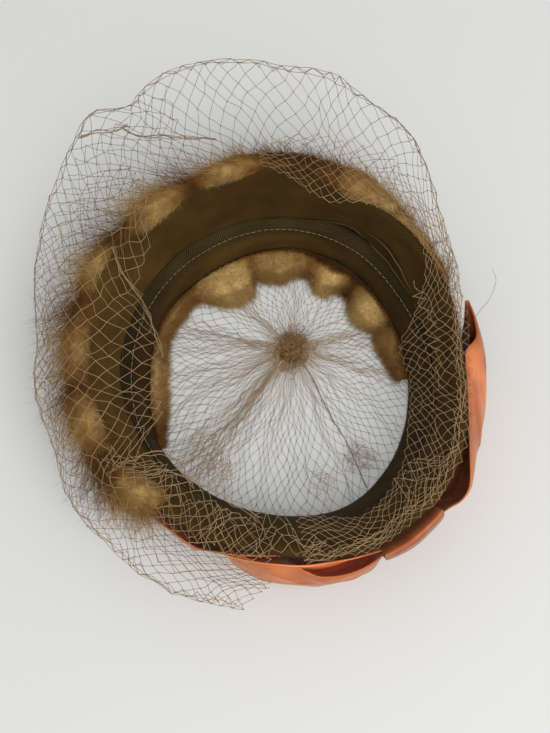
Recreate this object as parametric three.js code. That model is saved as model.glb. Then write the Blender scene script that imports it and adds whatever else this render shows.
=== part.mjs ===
// An open-crown ring hat with fur, a satin bow and a net veil, lying on its crown.
// Millimetres, +Z up. The hat's axis is vertical: the crown hole is at the bottom, the rim at the top.
import * as THREE from "three";
import { mergeVertices } from "three/addons/utils/BufferGeometryUtils.js";

// ---- driving sizes -------------------------------------------------------------------------------

const RING_STEPS = 48; // facets round the hat
const WALL_THICK = 2.4; // velvet over its shaped foundation
const BAND_SHARE = 0.56; // share of the wall's height where the facing meets the sweatband
const RING_SHARES = [0, 0.2, 0.4, BAND_SHARE, 0.78, 1]; // heights at which every ring piece has corners
const SWEATBAND = { shares: [0, 0.2, 0.4, 0.48, 0.545], inner: -1.7, outer: -0.7, tuckFrom: 0.51, tucked: 0.3 };
const FACING = { from: BAND_SHARE, inner: -2, outer: -0.8, lap: 0.021, clear: 0.012 };
const PIECE_GAP = 0.5; // left between neighbours that touch
const RIBBON_THICK = 1;
const NET_THICK = 1.2;

/** Rows of numbers as objects with a key for each column. */
function namedRows(columns, rows) {
  return rows.map((row) => Object.fromEntries(columns.map((key, i) => [key, row[i]])));
}

// The wall, a row every 30 degrees, anticlockwise from +X. Radii of the wall's inside at the crown edge,
// at the facing's lower edge and at the rim; heights of the crown edge and the rim; lean, the degrees
// by which what is sewn outside falls back between the rim and the crown edge; and inset, how far the
// sweatband stands in from the wall below its tucked edge.
const WALL_ROWS = [
  { azimuth: 0, crownR: 74, bandR: 88, rimR: 94, crownZ: 4.0, rimZ: 57.5, lean: 19, inset: 1 },
  { azimuth: 30, crownR: 78, bandR: 87, rimR: 95, crownZ: 5.6, rimZ: 57.5, lean: 24, inset: 5 },
  { azimuth: 60, crownR: 83, bandR: 89, rimR: 98.5, crownZ: 6.0, rimZ: 58, lean: 24, inset: 5 },
  { azimuth: 90, crownR: 85, bandR: 90.5, rimR: 104, crownZ: 6.0, rimZ: 58.5, lean: 24, inset: 5 },
  { azimuth: 120, crownR: 83, bandR: 90, rimR: 103, crownZ: 6.0, rimZ: 58, lean: 24, inset: 5.5 },
  { azimuth: 150, crownR: 83, bandR: 89.5, rimR: 103.5, crownZ: 6.0, rimZ: 58, lean: 24, inset: 5 },
  { azimuth: 180, crownR: 80.5, bandR: 89, rimR: 99.5, crownZ: 6.0, rimZ: 58, lean: 24, inset: 5 },
  { azimuth: 210, crownR: 79.5, bandR: 86, rimR: 97.5, crownZ: 5.0, rimZ: 57.5, lean: 24, inset: 2 },
  { azimuth: 240, crownR: 75, bandR: 83, rimR: 93, crownZ: 3.0, rimZ: 57, lean: 22, inset: 0.5 },
  { azimuth: 270, crownR: 76, bandR: 83.5, rimR: 96, crownZ: 2.4, rimZ: 57, lean: 0, inset: 0 },
  { azimuth: 300, crownR: 79.5, bandR: 92, rimR: 105, crownZ: 2.2, rimZ: 57.5, lean: 0, inset: 0 },
  { azimuth: 330, crownR: 76.5, bandR: 93, rimR: 103.5, crownZ: 2.4, rimZ: 57.5, lean: 0, inset: 0 },
];

// Fur: nine strips side by side between two seams, each from inside the rim, down the wall and under
// the crown edge. depth: how far the hair stands off; overRim and intoHole: how far its ends reach in.
const FUR = { firstSeam: 25.5, lastSeam: 233, backing: 3.2, floor: 2.35, underCrown: 0.6 };
const FUR_ROWS = [
  { depth: 9, overRim: 1, intoHole: 14 },
  { depth: 13, overRim: 4, intoHole: 20 },
  { depth: 16, overRim: 6, intoHole: 20 },
  { depth: 17, overRim: 7, intoHole: 19 },
  { depth: 16, overRim: 6, intoHole: 24 },
  { depth: 17, overRim: 7, intoHole: 20 },
  { depth: 16, overRim: 5, intoHole: 16 },
  { depth: 15, overRim: 5, intoHole: 16 },
  { depth: 15, overRim: 8, intoHole: 12 },
];
// One strip's section, from its end over the rim to its end in the crown hole. share: height up the
// wall; out: extra clearance at a turn; reach: share of overRim (positive) or intoHole (negative);
// stand: the hair's direction in degrees above level; full: share of the depth.
const FUR_SECTION = [
  { share: 1, out: 0, reach: 1, stand: 90, full: 0.12 },
  { share: 1, out: 0, reach: 0.35, stand: 82, full: 0.34 },
  { share: 1, out: 2, reach: 0, stand: 50, full: 0.58 },
  { share: 0.86, out: 0, reach: 0, stand: 18, full: 0.86 },
  { share: 0.68, out: 0, reach: 0, stand: 4, full: 1 },
  { share: 0.48, out: 0, reach: 0, stand: -6, full: 0.98 },
  { share: 0.28, out: 0, reach: 0, stand: -16, full: 0.84 },
  { share: 0.1, out: 0, reach: 0, stand: -30, full: 0.6 },
  { share: 0, out: 1, reach: 0, stand: -55, full: 0.4 },
  { share: 0, out: 0, reach: -0.45, stand: -88, full: 0.3 },
  { share: 0, out: 0, reach: -1, stand: -90, full: 0.1 },
];
// Across one strip: three locks, so the hair stands high, dips and stands again.
const FUR_LOCKS = [0.42, 0.86, 0.7, 1, 0.74, 1, 0.72, 0.84, 0.4];

// The satin sash, from its end at the last fur strip to its end at the first, anticlockwise.
const SASH = { from: 0.1, to: 0.86, steps: 22 };
const SASH_ROWS = [
  { azimuth: -124, topOut: 7.5, middleOut: 9.5, lowOut: 7 },
  { azimuth: -114, topOut: 10, middleOut: 15, lowOut: 8 },
  { azimuth: -104, topOut: 8, middleOut: 11, lowOut: 7 },
  { azimuth: -92, topOut: 6.8, middleOut: 6.8, lowOut: 6.7 },
  { azimuth: -40, topOut: 7, middleOut: 7, lowOut: 6.8 },
  { azimuth: 16, topOut: 7.2, middleOut: 7.3, lowOut: 7.1 },
];

// Bow loops: the ribbon's way round each loop, from the knot, along the sash, round the fold and back.
const LOOP_WIDTH = { from: 0.12, to: 0.93 };
const LOOP_LEFT_ROWS = [
  { azimuth: -56.5, topOut: 10, middleOut: 10, lowOut: 10 },
  { azimuth: -70, topOut: 8.9, middleOut: 8.9, lowOut: 8.9 },
  { azimuth: -82, topOut: 8.8, middleOut: 8.8, lowOut: 8.8 },
  { azimuth: -91, topOut: 9.8, middleOut: 10, lowOut: 9.6 },
  { azimuth: -94.5, topOut: 12, middleOut: 13, lowOut: 11.6 },
  { azimuth: -91, topOut: 14.6, middleOut: 16.5, lowOut: 13.6 },
  { azimuth: -82, topOut: 18, middleOut: 21, lowOut: 15.5 },
  { azimuth: -72, topOut: 16.5, middleOut: 19, lowOut: 14.5 },
  { azimuth: -63, topOut: 11.8, middleOut: 12.2, lowOut: 11.7 },
  { azimuth: -56.5, topOut: 11.4, middleOut: 11.4, lowOut: 11.4 },
];
const LOOP_RIGHT_ROWS = [
  { azimuth: -46, topOut: 10, middleOut: 10, lowOut: 10 },
  { azimuth: -30, topOut: 9.2, middleOut: 9.2, lowOut: 9.2 },
  { azimuth: -10, topOut: 8.9, middleOut: 8.9, lowOut: 8.9 },
  { azimuth: 8, topOut: 8.9, middleOut: 8.9, lowOut: 8.9 },
  { azimuth: 14, topOut: 9.4, middleOut: 9.6, lowOut: 9.2 },
  { azimuth: 17, topOut: 11.6, middleOut: 13, lowOut: 11 },
  { azimuth: 13, topOut: 14, middleOut: 18, lowOut: 13 },
  { azimuth: -2, topOut: 12.5, middleOut: 21, lowOut: 14.5 },
  { azimuth: -20, topOut: 12.5, middleOut: 21.5, lowOut: 15 },
  { azimuth: -32, topOut: 16, middleOut: 20.5, lowOut: 15 },
  { azimuth: -40, topOut: 11.8, middleOut: 12.2, lowOut: 11.7 },
  { azimuth: -46, topOut: 11.4, middleOut: 11.4, lowOut: 11.4 },
];
// The band that wraps the loops' roots: a flat tube with its hollow along the hat's side.
const KNOT = { from: -60.5, to: -42, inner: 7.9, outer: 15.2, low: 0.06, high: 0.985, steps: 4 };

// Veiling. The crown net lies flat under the hat, drawn in to a hub; the face veil starts at its edge.
const CROWN_NET = { beyondCrown: 3.1, hubX: 9, hubY: 17, hubR: 7, strand: 2.6 };
const CROWN_NET_ROWS = [
  { cells: 9, from: 0.1, to: 0.46 },
  { cells: 18, from: 0.51, to: 0.95 },
];
const NET_KNOT = { radius: 10.5, height: 7.4, lobes: 5, lobeDepth: 0.14 };
const VEIL = {
  beyondCrown: 4, floor: 0.3, columns: 20, rows: 5, halfWide: 17, halfHigh: 20, strand: 3,
  sideShare: 0.36, shoulderShare: 0.86, startAzimuth: -81, endAzimuth: 275.5,
};
// The veil's section, each but the edge as distance off the wall. foot: where it leaves the floor; side
// and shoulder: at two heights; fold: its widest place; turn: on its way back over the rim, or still
// outwards where it only flares; edgeR and edgeZ: its free edge.
const VEIL_ROWS = namedRows(["azimuth", "foot", "side", "shoulder", "fold", "foldZ",
  "turn", "turnZ", "edgeR", "edgeZ"], [
  [-81, 5, 5.1, 5.45, 7, 63.5, -9, 62, 80, 55],
  [-60, 5, 5.1, 5.45, 7, 64, -11, 62, 84, 55],
  [-30, 5, 5.1, 5.45, 7, 64, -11, 62, 79, 54],
  [0, 5, 5.1, 5.45, 8, 65, -10, 62, 68, 52],
  [17.6, 5, 5.1, 5.45, 10, 66, -3, 66, 80, 59],
  [26.5, 12, 16, 19, 20, 67, 4, 70, 86, 66],
  [45, 14, 20, 23, 32, 67, 12, 72, 96, 71],
  [60, 16, 22, 25, 49, 66, 22, 73, 98, 73],
  [75, 16, 23, 27, 60, 65, 34, 73, 103, 74],
  [90, 16, 23, 27, 58, 62, 50, 68, 132, 73],
  [105, 16, 23, 27, 42, 57, 56, 61, 174, 64],
  [120, 16, 23, 27, 60, 62, 58, 68, 146, 73],
  [135, 16, 23, 27, 57, 66, 30, 73, 104, 74],
  [150, 16, 23, 26, 41, 68, 14, 73, 84, 71],
  [165, 16, 23, 25, 28, 68, 6, 72, 74, 66],
  [180, 16, 22, 24, 26, 68, 5, 71.5, 68, 64],
  [210, 15, 21, 23, 26, 67, 4, 71, 72, 64],
  [236, 15, 20, 23, 31, 66, 6, 70, 76, 63],
  [258, 16, 23, 26, 33, 64, 8, 66, 82, 60],
  [275.5, 20, 26, 26, 27, 63, 4, 64.5, 84, 58],
]);

const FINISH = {
  velvet: { color: 0x1c130d, roughness: 0.95, metalness: 0 },
  facing: { color: 0x54401f, roughness: 0.7, metalness: 0 },
  grosgrain: { color: 0x332818, roughness: 0.8, metalness: 0 },
  fur: { color: 0x94652f, roughness: 0.9, metalness: 0 },
  satin: { color: 0xc4663e, roughness: 0.35, metalness: 0 },
  net: { color: 0x9c7f63, roughness: 0.8, metalness: 0 },
};

// ---- helpers -------------------------------------------------------------------------------------

const lerp = THREE.MathUtils.lerp;
const radians = THREE.MathUtils.degToRad;

/** A cubic that passes through b at 0 and c at 1 and looks at its neighbours a and d. */
function smoothBetween(a, b, c, d, t) {
  const square = t * t;
  const [bend, twist] = [2 * a - 5 * b + 4 * c - d, 3 * b - a - 3 * c + d];
  return 0.5 * (2 * b + (c - a) * t + bend * square + twist * square * t);
}

/** Reads every column but azimuth from rows that run once round the hat. */
function readRing(rows, azimuth) {
  const step = 360 / rows.length;
  const place = (((azimuth - rows[0].azimuth) % 360) + 360) % 360 / step;
  const first = Math.floor(place);
  const near = [-1, 0, 1, 2].map((shift) => rows[(first + shift + rows.length) % rows.length]);
  return readSmooth(near, place - first);
}

/** Reads every column from an open list of rows at a share of the way along it. */
function readStrip(rows, share) {
  const place = share * (rows.length - 1);
  const first = Math.min(Math.floor(place), rows.length - 2);
  const near = [-1, 0, 1, 2].map((shift) => rows[THREE.MathUtils.clamp(first + shift, 0, rows.length - 1)]);
  return readSmooth(near, place - first);
}

/** Reads rows with rising azimuths, straight from one row to the next. */
function readAtAzimuth(rows, azimuth) {
  const after = Math.max(1, rows.findIndex((row) => row.azimuth >= azimuth));
  const [before, next] = [rows[after - 1], rows[after]];
  const share = (azimuth - before.azimuth) / (next.azimuth - before.azimuth);
  return Object.fromEntries(Object.keys(next).map((key) => [key, lerp(before[key], next[key], share)]));
}

function readSmooth(near, share) {
  const read = (key) => [key, smoothBetween(...near.map((row) => row[key]), share)];
  return Object.fromEntries(Object.keys(near[1]).map(read));
}

/** A point on the hat's wall: out is measured outwards from the wall's inside. */
function wallPoint(azimuth, share, out) {
  const row = readRing(WALL_ROWS, azimuth);
  // A parabola through the crown edge, the facing's lower edge and the rim.
  const bulge = (row.bandR - lerp(row.crownR, row.rimR, BAND_SHARE)) / (BAND_SHARE * (1 - BAND_SHARE));
  const clamped = THREE.MathUtils.clamp(share, 0, 1);
  const radius = lerp(row.crownR, row.rimR, share) + bulge * clamped * (1 - clamped) + out;
  return aboutAxis(azimuth, radius, lerp(row.crownZ, row.rimZ, share));
}

function aboutAxis(azimuth, radius, z) {
  return new THREE.Vector3(radius * Math.cos(radians(azimuth)), radius * Math.sin(radians(azimuth)), z);
}

/** An azimuth at the rim, carried down the wall along the lean of what is sewn outside. */
function leaned(azimuth, share) {
  return azimuth - readRing(WALL_ROWS, azimuth).lean * (1 - THREE.MathUtils.clamp(share, 0, 1));
}

/** Moves every corner of a geometry, then joins the corners that meet and turns its faces outwards. */
function shaped(geometry, move) {
  const corners = geometry.attributes.position;
  const corner = new THREE.Vector3();
  for (let i = 0; i < corners.count; i += 1) {
    corner.fromBufferAttribute(corners, i);
    corners.setXYZ(i, ...move(corner).toArray());
  }
  geometry.deleteAttribute("normal");
  geometry.deleteAttribute("uv");
  const joined = mergeVertices(geometry, 1e-3);
  if (volumeOf(joined) < 0) joined.index.array.reverse();
  joined.computeVertexNormals();
  return joined;
}

function volumeOf(geometry) {
  const [a, b, c] = [new THREE.Vector3(), new THREE.Vector3(), new THREE.Vector3()];
  let sum = 0;
  for (let i = 0; i < geometry.index.count; i += 3) {
    const corner = (v, k) => v.fromBufferAttribute(geometry.attributes.position, geometry.index.getX(i + k));
    [a, b, c].forEach(corner);
    sum += a.dot(b.cross(c));
  }
  return sum / 6;
}

function piece(name, geometry, finish) {
  const mesh = new THREE.Mesh(geometry, new THREE.MeshStandardMaterial(finish));
  mesh.name = name;
  return mesh;
}

// ---- the ring: wall, facing and sweatband ----------------------------------------------------------

/** A closed section of {out, share} points carried once round the wall, moved in by inset(azimuth, share). */
function ringShell(section, inset = () => 0) {
  const middle = 100; // keeps the lathe's section clear of its axis
  const outline = [...section, section[0]].map(({ out, share }) => new THREE.Vector2(middle + out, share));
  const ring = new THREE.LatheGeometry(outline, RING_STEPS);
  return shaped(ring, ({ x, y, z }) => {
    const azimuth = THREE.MathUtils.radToDeg(Math.atan2(z, x));
    return wallPoint(azimuth, y, Math.hypot(x, z) - middle - inset(azimuth, y));
  });
}

/** The two faces of a band through a list of heights, as a closed section. */
function bandSection(shares, inner, outer) {
  const face = (out) => shares.map((share) => ({ out, share }));
  return [...face(inner), ...face(outer).reverse()];
}

function velvetWall() {
  return piece("velvet_wall", ringShell(bandSection(RING_SHARES, 0, WALL_THICK)), FINISH.velvet);
}

/** The sweatband hangs from under the facing's edge and stands in from the wall. */
function sweatband() {
  const { shares, inner, outer, tuckFrom, tucked } = SWEATBAND;
  const inset = (azimuth, share) => readRing(WALL_ROWS, azimuth).inset * (share > tuckFrom ? tucked : 1);
  return piece("sweatband", ringShell(bandSection(shares, inner, outer), inset), FINISH.grosgrain);
}

/** The facing goes up the inside and laps over the rim's edge to the outside of the wall. */
function facing() {
  const { from, inner, outer, lap, clear } = FACING;
  const [middle] = RING_SHARES.filter((share) => share > from && share < 1);
  const under = 1 + clear;
  const top = 1 + clear + lap;
  const section = [
    { out: outer, share: from },
    { out: inner, share: from },
    { out: inner, share: middle },
    { out: inner, share: 1 },
    { out: outer, share: top },
    { out: WALL_THICK, share: top },
    { out: WALL_THICK, share: under },
    { out: outer, share: under },
    { out: outer, share: middle },
  ];
  return piece("facing", ringShell(section), FINISH.facing);
}

// ---- fur -------------------------------------------------------------------------------------------

/** One corner of a fur strip: along its section, between its seams, and from backing to hair tips. */
function furPoint(row, azimuth, across, section, tips) {
  const outside = wallPoint(azimuth, section.share, FUR.backing + section.out);
  const radius = Math.hypot(outside.x, outside.y);
  const overRim = Math.max(section.reach, 0) * (row.overRim + FUR.backing);
  const intoHole = Math.max(-section.reach, 0) * (row.intoHole + FUR.backing);
  const lift = section.share === 1 ? 2 * PIECE_GAP + 1.2 : 0;
  const drop = section.share === 0 ? FUR.underCrown : 0;
  const depth = tips * row.depth * section.full * readLocks(across);
  const stand = radians(section.stand);
  const z = outside.z + lift - drop + depth * Math.sin(stand);
  return aboutAxis(azimuth, radius - overRim - intoHole + depth * Math.cos(stand), Math.max(z, FUR.floor));
}

function readLocks(across) {
  const place = across * (FUR_LOCKS.length - 1);
  const first = Math.min(Math.floor(place), FUR_LOCKS.length - 2);
  return lerp(FUR_LOCKS[first], FUR_LOCKS[first + 1], place - first);
}

function furTuft(index) {
  const width = (FUR.lastSeam - FUR.firstSeam) / FUR_ROWS.length;
  const seam = 0.5; // degrees left open at each side of a strip
  const first = FUR.firstSeam + index * width + seam;
  const last = FUR.firstSeam + (index + 1) * width - seam;
  const strip = new THREE.BoxGeometry(1, 1, 1, FUR_LOCKS.length - 1, FUR_SECTION.length - 1, 1);
  const geometry = shaped(strip, ({ x, y, z }) => {
    const section = FUR_SECTION[Math.round((0.5 - y) * (FUR_SECTION.length - 1))];
    const across = x + 0.5;
    const azimuth = leaned(lerp(first, last, across), section.share);
    return furPoint(FUR_ROWS[index], azimuth, across, section, z + 0.5);
  });
  return piece(`fur_tuft_${index + 1}`, geometry, FINISH.fur);
}

// ---- satin -----------------------------------------------------------------------------------------

/** How far the ribbon stands off at a share of its width, from its lower to its upper edge. */
function ribbonOut(row, height) {
  const straight = lerp(row.lowOut, row.topOut, height);
  const bulge = row.middleOut - (row.lowOut + row.topOut) / 2;
  return straight + bulge * 4 * height * (1 - height);
}

/** A ribbon that follows rows of places round the wall, with its width up the wall. */
function ribbonPoint(rows, width, along, height) {
  const row = readStrip(rows, along);
  const share = lerp(width.from, width.to, height);
  return wallPoint(leaned(row.azimuth, share), share, ribbonOut(row, height));
}

function ribbon(name, rows, width, steps, heightSteps) {
  const strip = new THREE.BoxGeometry(1, 1, 1, steps, heightSteps, 1);
  const geometry = shaped(strip, ({ x, y, z }) => {
    const [along, height] = [x + 0.5, y + 0.5];
    const at = ribbonPoint(rows, width, along, height);
    const ahead = ribbonPoint(rows, width, Math.min(along + 0.01, 1), height);
    const behind = ribbonPoint(rows, width, Math.max(along - 0.01, 0), height);
    const way = ahead.sub(behind).setZ(0).normalize();
    return at.add(new THREE.Vector3(way.y, -way.x, 0).multiplyScalar(z * RIBBON_THICK));
  });
  return piece(name, geometry, FINISH.satin);
}

function satinSash() {
  return ribbon("satin_sash", evenSash(), SASH, SASH.steps, 4);
}

/** The sash's rows at even steps of azimuth, because a strip's rows are read at even steps. */
function evenSash() {
  const [start, end] = [SASH_ROWS[0].azimuth, SASH_ROWS.at(-1).azimuth];
  return Array.from({ length: SASH.steps + 1 }, (_, i) => {
    const azimuth = lerp(start, end, i / SASH.steps);
    return { ...readAtAzimuth(SASH_ROWS, azimuth), azimuth };
  });
}

/** The knot's tube, drawn as distance off the wall against height, then carried along the wall. */
function bowKnot() {
  const { from, to, inner, outer, low, high, steps } = KNOT;
  const drawn = 55; // millimetres that stand for the wall's whole height while the section is drawn
  const chamfer = 1.5;
  const side = (out, trim, upwards) => {
    const [bottom, top] = [low * drawn + trim, high * drawn - trim];
    const heights = [0, 0.25, 0.5, 0.75, 1].map((share) => lerp(bottom, top, upwards ? share : 1 - share));
    return heights.map((height) => new THREE.Vector2(out, height));
  };
  const corner = (height) => new THREE.Vector2(outer - chamfer, height * drawn);
  const outside = [corner(low), ...side(outer, chamfer, true), corner(high), ...side(inner, 0, false)];
  const hollow = RIBBON_THICK + PIECE_GAP;
  const inside = [...side(inner + RIBBON_THICK, hollow, true), ...side(outer - hollow, hollow, false)];
  const section = new THREE.Shape(outside);
  section.holes.push(new THREE.Path(inside));
  const tube = new THREE.ExtrudeGeometry(section, { depth: 1, steps, bevelEnabled: false });
  const wrapped = shaped(tube, ({ x, y, z }) => wallPoint(lerp(from, to, z), y / drawn, x));
  return piece("bow_knot", wrapped, FINISH.satin);
}

// ---- veiling ---------------------------------------------------------------------------------------

/** Flat crown net: cells between spokes that run from the hub out past the crown edge. */
function crownNet() {
  const { beyondCrown, hubX, hubY, hubR, strand } = CROWN_NET;
  const hub = new THREE.Vector2(hubX, hubY);
  const place = (azimuth, reach, side = 0) => {
    const edge = aboutAxis(azimuth, readRing(WALL_ROWS, azimuth).crownR + beyondCrown, 0);
    const spoke = new THREE.Vector2(edge.x, edge.y).sub(hub);
    const across = new THREE.Vector2(-spoke.y, spoke.x).setLength((side * strand) / 2);
    return hub.clone().addScaledVector(spoke, lerp(hubR / spoke.length(), 1, reach)).add(across);
  };
  const edge = Array.from({ length: RING_STEPS }, (_, i) => place((360 * i) / RING_STEPS, 1));
  const disc = new THREE.Shape(edge);
  for (const { cells, from, to } of CROWN_NET_ROWS) {
    for (let cell = 0; cell < cells; cell += 1) {
      const [left, right] = [(360 * cell) / cells, (360 * (cell + 1)) / cells];
      const up = [place(left, from, 1), place(left, to, 1)];
      const down = [place(right, to, -1), place(right, from, -1)];
      disc.holes.push(new THREE.Path([...up, place((left + right) / 2, to), ...down]));
    }
  }
  const geometry = new THREE.ExtrudeGeometry(disc, { depth: NET_THICK, bevelEnabled: false });
  return piece("crown_net", shaped(geometry, (corner) => corner), FINISH.net);
}

/** The gathered knot: a low bun with turns of net round it. */
function netKnot() {
  const { radius, height, lobes, lobeDepth } = NET_KNOT;
  const ball = new THREE.SphereGeometry(1, 18, 9);
  const geometry = shaped(ball, ({ x, y, z }) => {
    const turn = Math.atan2(z, x);
    const swell = 1 - lobeDepth * (1 - y * y) * (0.5 + 0.5 * Math.cos(lobes * turn + 2 * y));
    return new THREE.Vector3(x * radius * swell, -z * radius * swell, (y * swell * height) / 2);
  });
  const bun = piece("net_knot", geometry, FINISH.net);
  bun.position.set(CROWN_NET.hubX, CROWN_NET.hubY, NET_THICK + PIECE_GAP + height / 2);
  return bun;
}

/** The veil's section, as azimuth, radius and height at each turn, from the crown to the free edge. */
function veilSection(rimAzimuth) {
  const row = readAtAzimuth(VEIL_ROWS, rimAzimuth);
  const offWall = (share, out) => {
    const azimuth = leaned(rimAzimuth, share);
    const at = wallPoint(azimuth, share, out);
    return { azimuth, radius: Math.hypot(at.x, at.y), z: at.z };
  };
  return [
    { ...offWall(0, VEIL.beyondCrown), z: VEIL.floor },
    { ...offWall(0, row.foot), z: VEIL.floor },
    offWall(VEIL.sideShare, row.side),
    offWall(VEIL.shoulderShare, row.shoulder),
    { ...offWall(1, row.fold), z: row.foldZ },
    { ...offWall(1, row.turn), z: row.turnZ },
    { azimuth: rimAzimuth, radius: row.edgeR, z: row.edgeZ },
  ];
}

/** A point of the veil: along runs once round the hat, up from the crown to the free edge. */
function veilPoint(along, up, thick) {
  const section = veilSection(lerp(VEIL.startAzimuth, VEIL.endAzimuth, along));
  const place = up * (section.length - 1);
  const first = Math.min(Math.floor(place), section.length - 2);
  const between = (key) => lerp(section[first][key], section[first + 1][key], place - first);
  const nearest = Math.round(place);
  const before = section[Math.max(nearest - 1, 0)];
  const after = section[Math.min(nearest + 1, section.length - 1)];
  const way = new THREE.Vector2(after.radius - before.radius, after.z - before.z).normalize();
  const radius = between("radius") - way.y * thick;
  return aboutAxis(between("azimuth"), radius, Math.max(between("z") + way.x * thick, VEIL.floor));
}

/** The face veil: a long band of diamond cells with zigzag edges, wrapped round the hat. */
function faceVeil() {
  const { columns, rows, halfWide, halfHigh, strand } = VEIL;
  const side = Math.hypot(halfWide, halfHigh);
  // How far a strand's own half width moves a cell's corners along the band and across it.
  const [trimWide, trimHigh] = [((strand / 2) * side) / halfHigh, ((strand / 2) * side) / halfWide];
  const [ends, edge] = [2 * columns, rows + 1];
  const corner = (i, j, shiftWide, shiftHigh) =>
    new THREE.Vector2(i * halfWide + shiftWide * trimWide, j * halfHigh + shiftHigh * trimHigh);
  const count = (length) => Array.from({ length }, (_, i) => i);
  const outline = [
    ...count(ends).map((i) => corner(i, i % 2, i === 0 ? -1 : 0, -1)),
    ...count(edge).map((j) => corner(ends - (j % 2), j, 1, j === 0 ? -1 : 0)),
    ...count(ends).map((i) => corner(ends - i, edge - (i + ends + edge) % 2, i === 0 ? 1 : 0, 1)),
    ...count(edge).map((j) => corner((edge - j) % 2, edge - j, -1, j === 0 ? 1 : 0)),
  ];
  const band = new THREE.Shape(outline);
  for (let j = 1; j <= rows; j += 1) {
    for (let i = 1 + (j % 2); i < ends; i += 2) {
      band.holes.push(new THREE.Path([
        new THREE.Vector2((i - 1) * halfWide + trimWide, j * halfHigh),
        new THREE.Vector2(i * halfWide, (j + 1) * halfHigh - trimHigh),
        new THREE.Vector2((i + 1) * halfWide - trimWide, j * halfHigh),
        new THREE.Vector2(i * halfWide, (j - 1) * halfHigh + trimHigh),
      ]));
    }
  }
  const sheet = new THREE.ExtrudeGeometry(band, { depth: 1, bevelEnabled: false });
  const [left, low] = [-trimWide, -trimHigh];
  const [long, high] = [ends * halfWide + 2 * trimWide, edge * halfHigh + 2 * trimHigh];
  const share = (value) => THREE.MathUtils.clamp(value, 0, 1);
  const wrapped = shaped(sheet, ({ x, y, z }) =>
    veilPoint(share((x - left) / long), share((y - low) / high), z * NET_THICK));
  return piece("face_veil", wrapped, FINISH.net);
}

// ---- assembly --------------------------------------------------------------------------------------

const hat = new THREE.Group();
hat.add(velvetWall(), facing(), sweatband());
FUR_ROWS.forEach((_, index) => hat.add(furTuft(index)));
hat.add(satinSash());
hat.add(ribbon("bow_loop_left", LOOP_LEFT_ROWS, LOOP_WIDTH, 24, 4));
hat.add(ribbon("bow_loop_right", LOOP_RIGHT_ROWS, LOOP_WIDTH, 26, 4));
hat.add(bowKnot(), crownNet(), netKnot(), faceVeil());

// The origin is the middle of the hat's footprint, on the surface that it lies on.
const bounds = new THREE.Box3().setFromObject(hat, true);
const middle = bounds.getCenter(new THREE.Vector3());
hat.position.set(-middle.x, -middle.y, -bounds.min.z);

export default hat;
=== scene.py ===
"""Dresses an open-crown ring hat.

It has a velvet ring, faced and banded inside, with fur, a satin bow and a net veil.
"""

from __future__ import annotations

import logging
from collections.abc import Callable, Sequence
from dataclasses import dataclass
from enum import Enum
from typing import Any

import bpy
import numpy as np
from mathutils import Matrix, Vector

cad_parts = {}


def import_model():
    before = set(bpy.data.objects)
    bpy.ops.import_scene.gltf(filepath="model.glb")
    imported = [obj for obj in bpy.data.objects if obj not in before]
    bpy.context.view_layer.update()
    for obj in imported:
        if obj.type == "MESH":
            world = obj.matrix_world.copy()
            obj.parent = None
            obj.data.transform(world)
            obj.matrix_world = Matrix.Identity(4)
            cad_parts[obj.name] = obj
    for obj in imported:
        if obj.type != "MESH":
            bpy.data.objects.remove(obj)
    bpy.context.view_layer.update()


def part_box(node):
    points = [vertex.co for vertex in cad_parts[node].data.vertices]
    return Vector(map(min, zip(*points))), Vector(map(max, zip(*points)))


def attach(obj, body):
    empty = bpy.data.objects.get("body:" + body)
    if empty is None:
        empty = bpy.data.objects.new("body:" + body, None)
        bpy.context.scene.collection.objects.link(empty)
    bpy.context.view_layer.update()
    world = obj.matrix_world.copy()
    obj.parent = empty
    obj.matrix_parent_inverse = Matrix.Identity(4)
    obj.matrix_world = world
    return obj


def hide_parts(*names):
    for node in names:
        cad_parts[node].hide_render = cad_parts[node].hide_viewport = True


LOG = logging.getLogger("ring_hat")
MM = 0.001
# The wall's height, and the radius at which cloth is measured round the hat, in millimetres.
WALL_HEIGHT = 58
CLOTH_RADIUS = 92
# One turn in radians, in the finishes' threads and ribs.
FULL_TURN = 6.283
Array = np.ndarray
Colour = tuple[float, float, float]
# A number or a colour for each azimuth and each share of the wall's height.
OnWall = Callable[[Array, Array], Array]


class Slot(Enum):
    """The record's material slots."""

    VELVET = "velvet"
    FACING = "facing"
    GROSGRAIN = "grosgrain"
    FUR = "fur"
    SATIN = "satin"
    NET = "net"


# ---- reading tables and making noise ----


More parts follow.
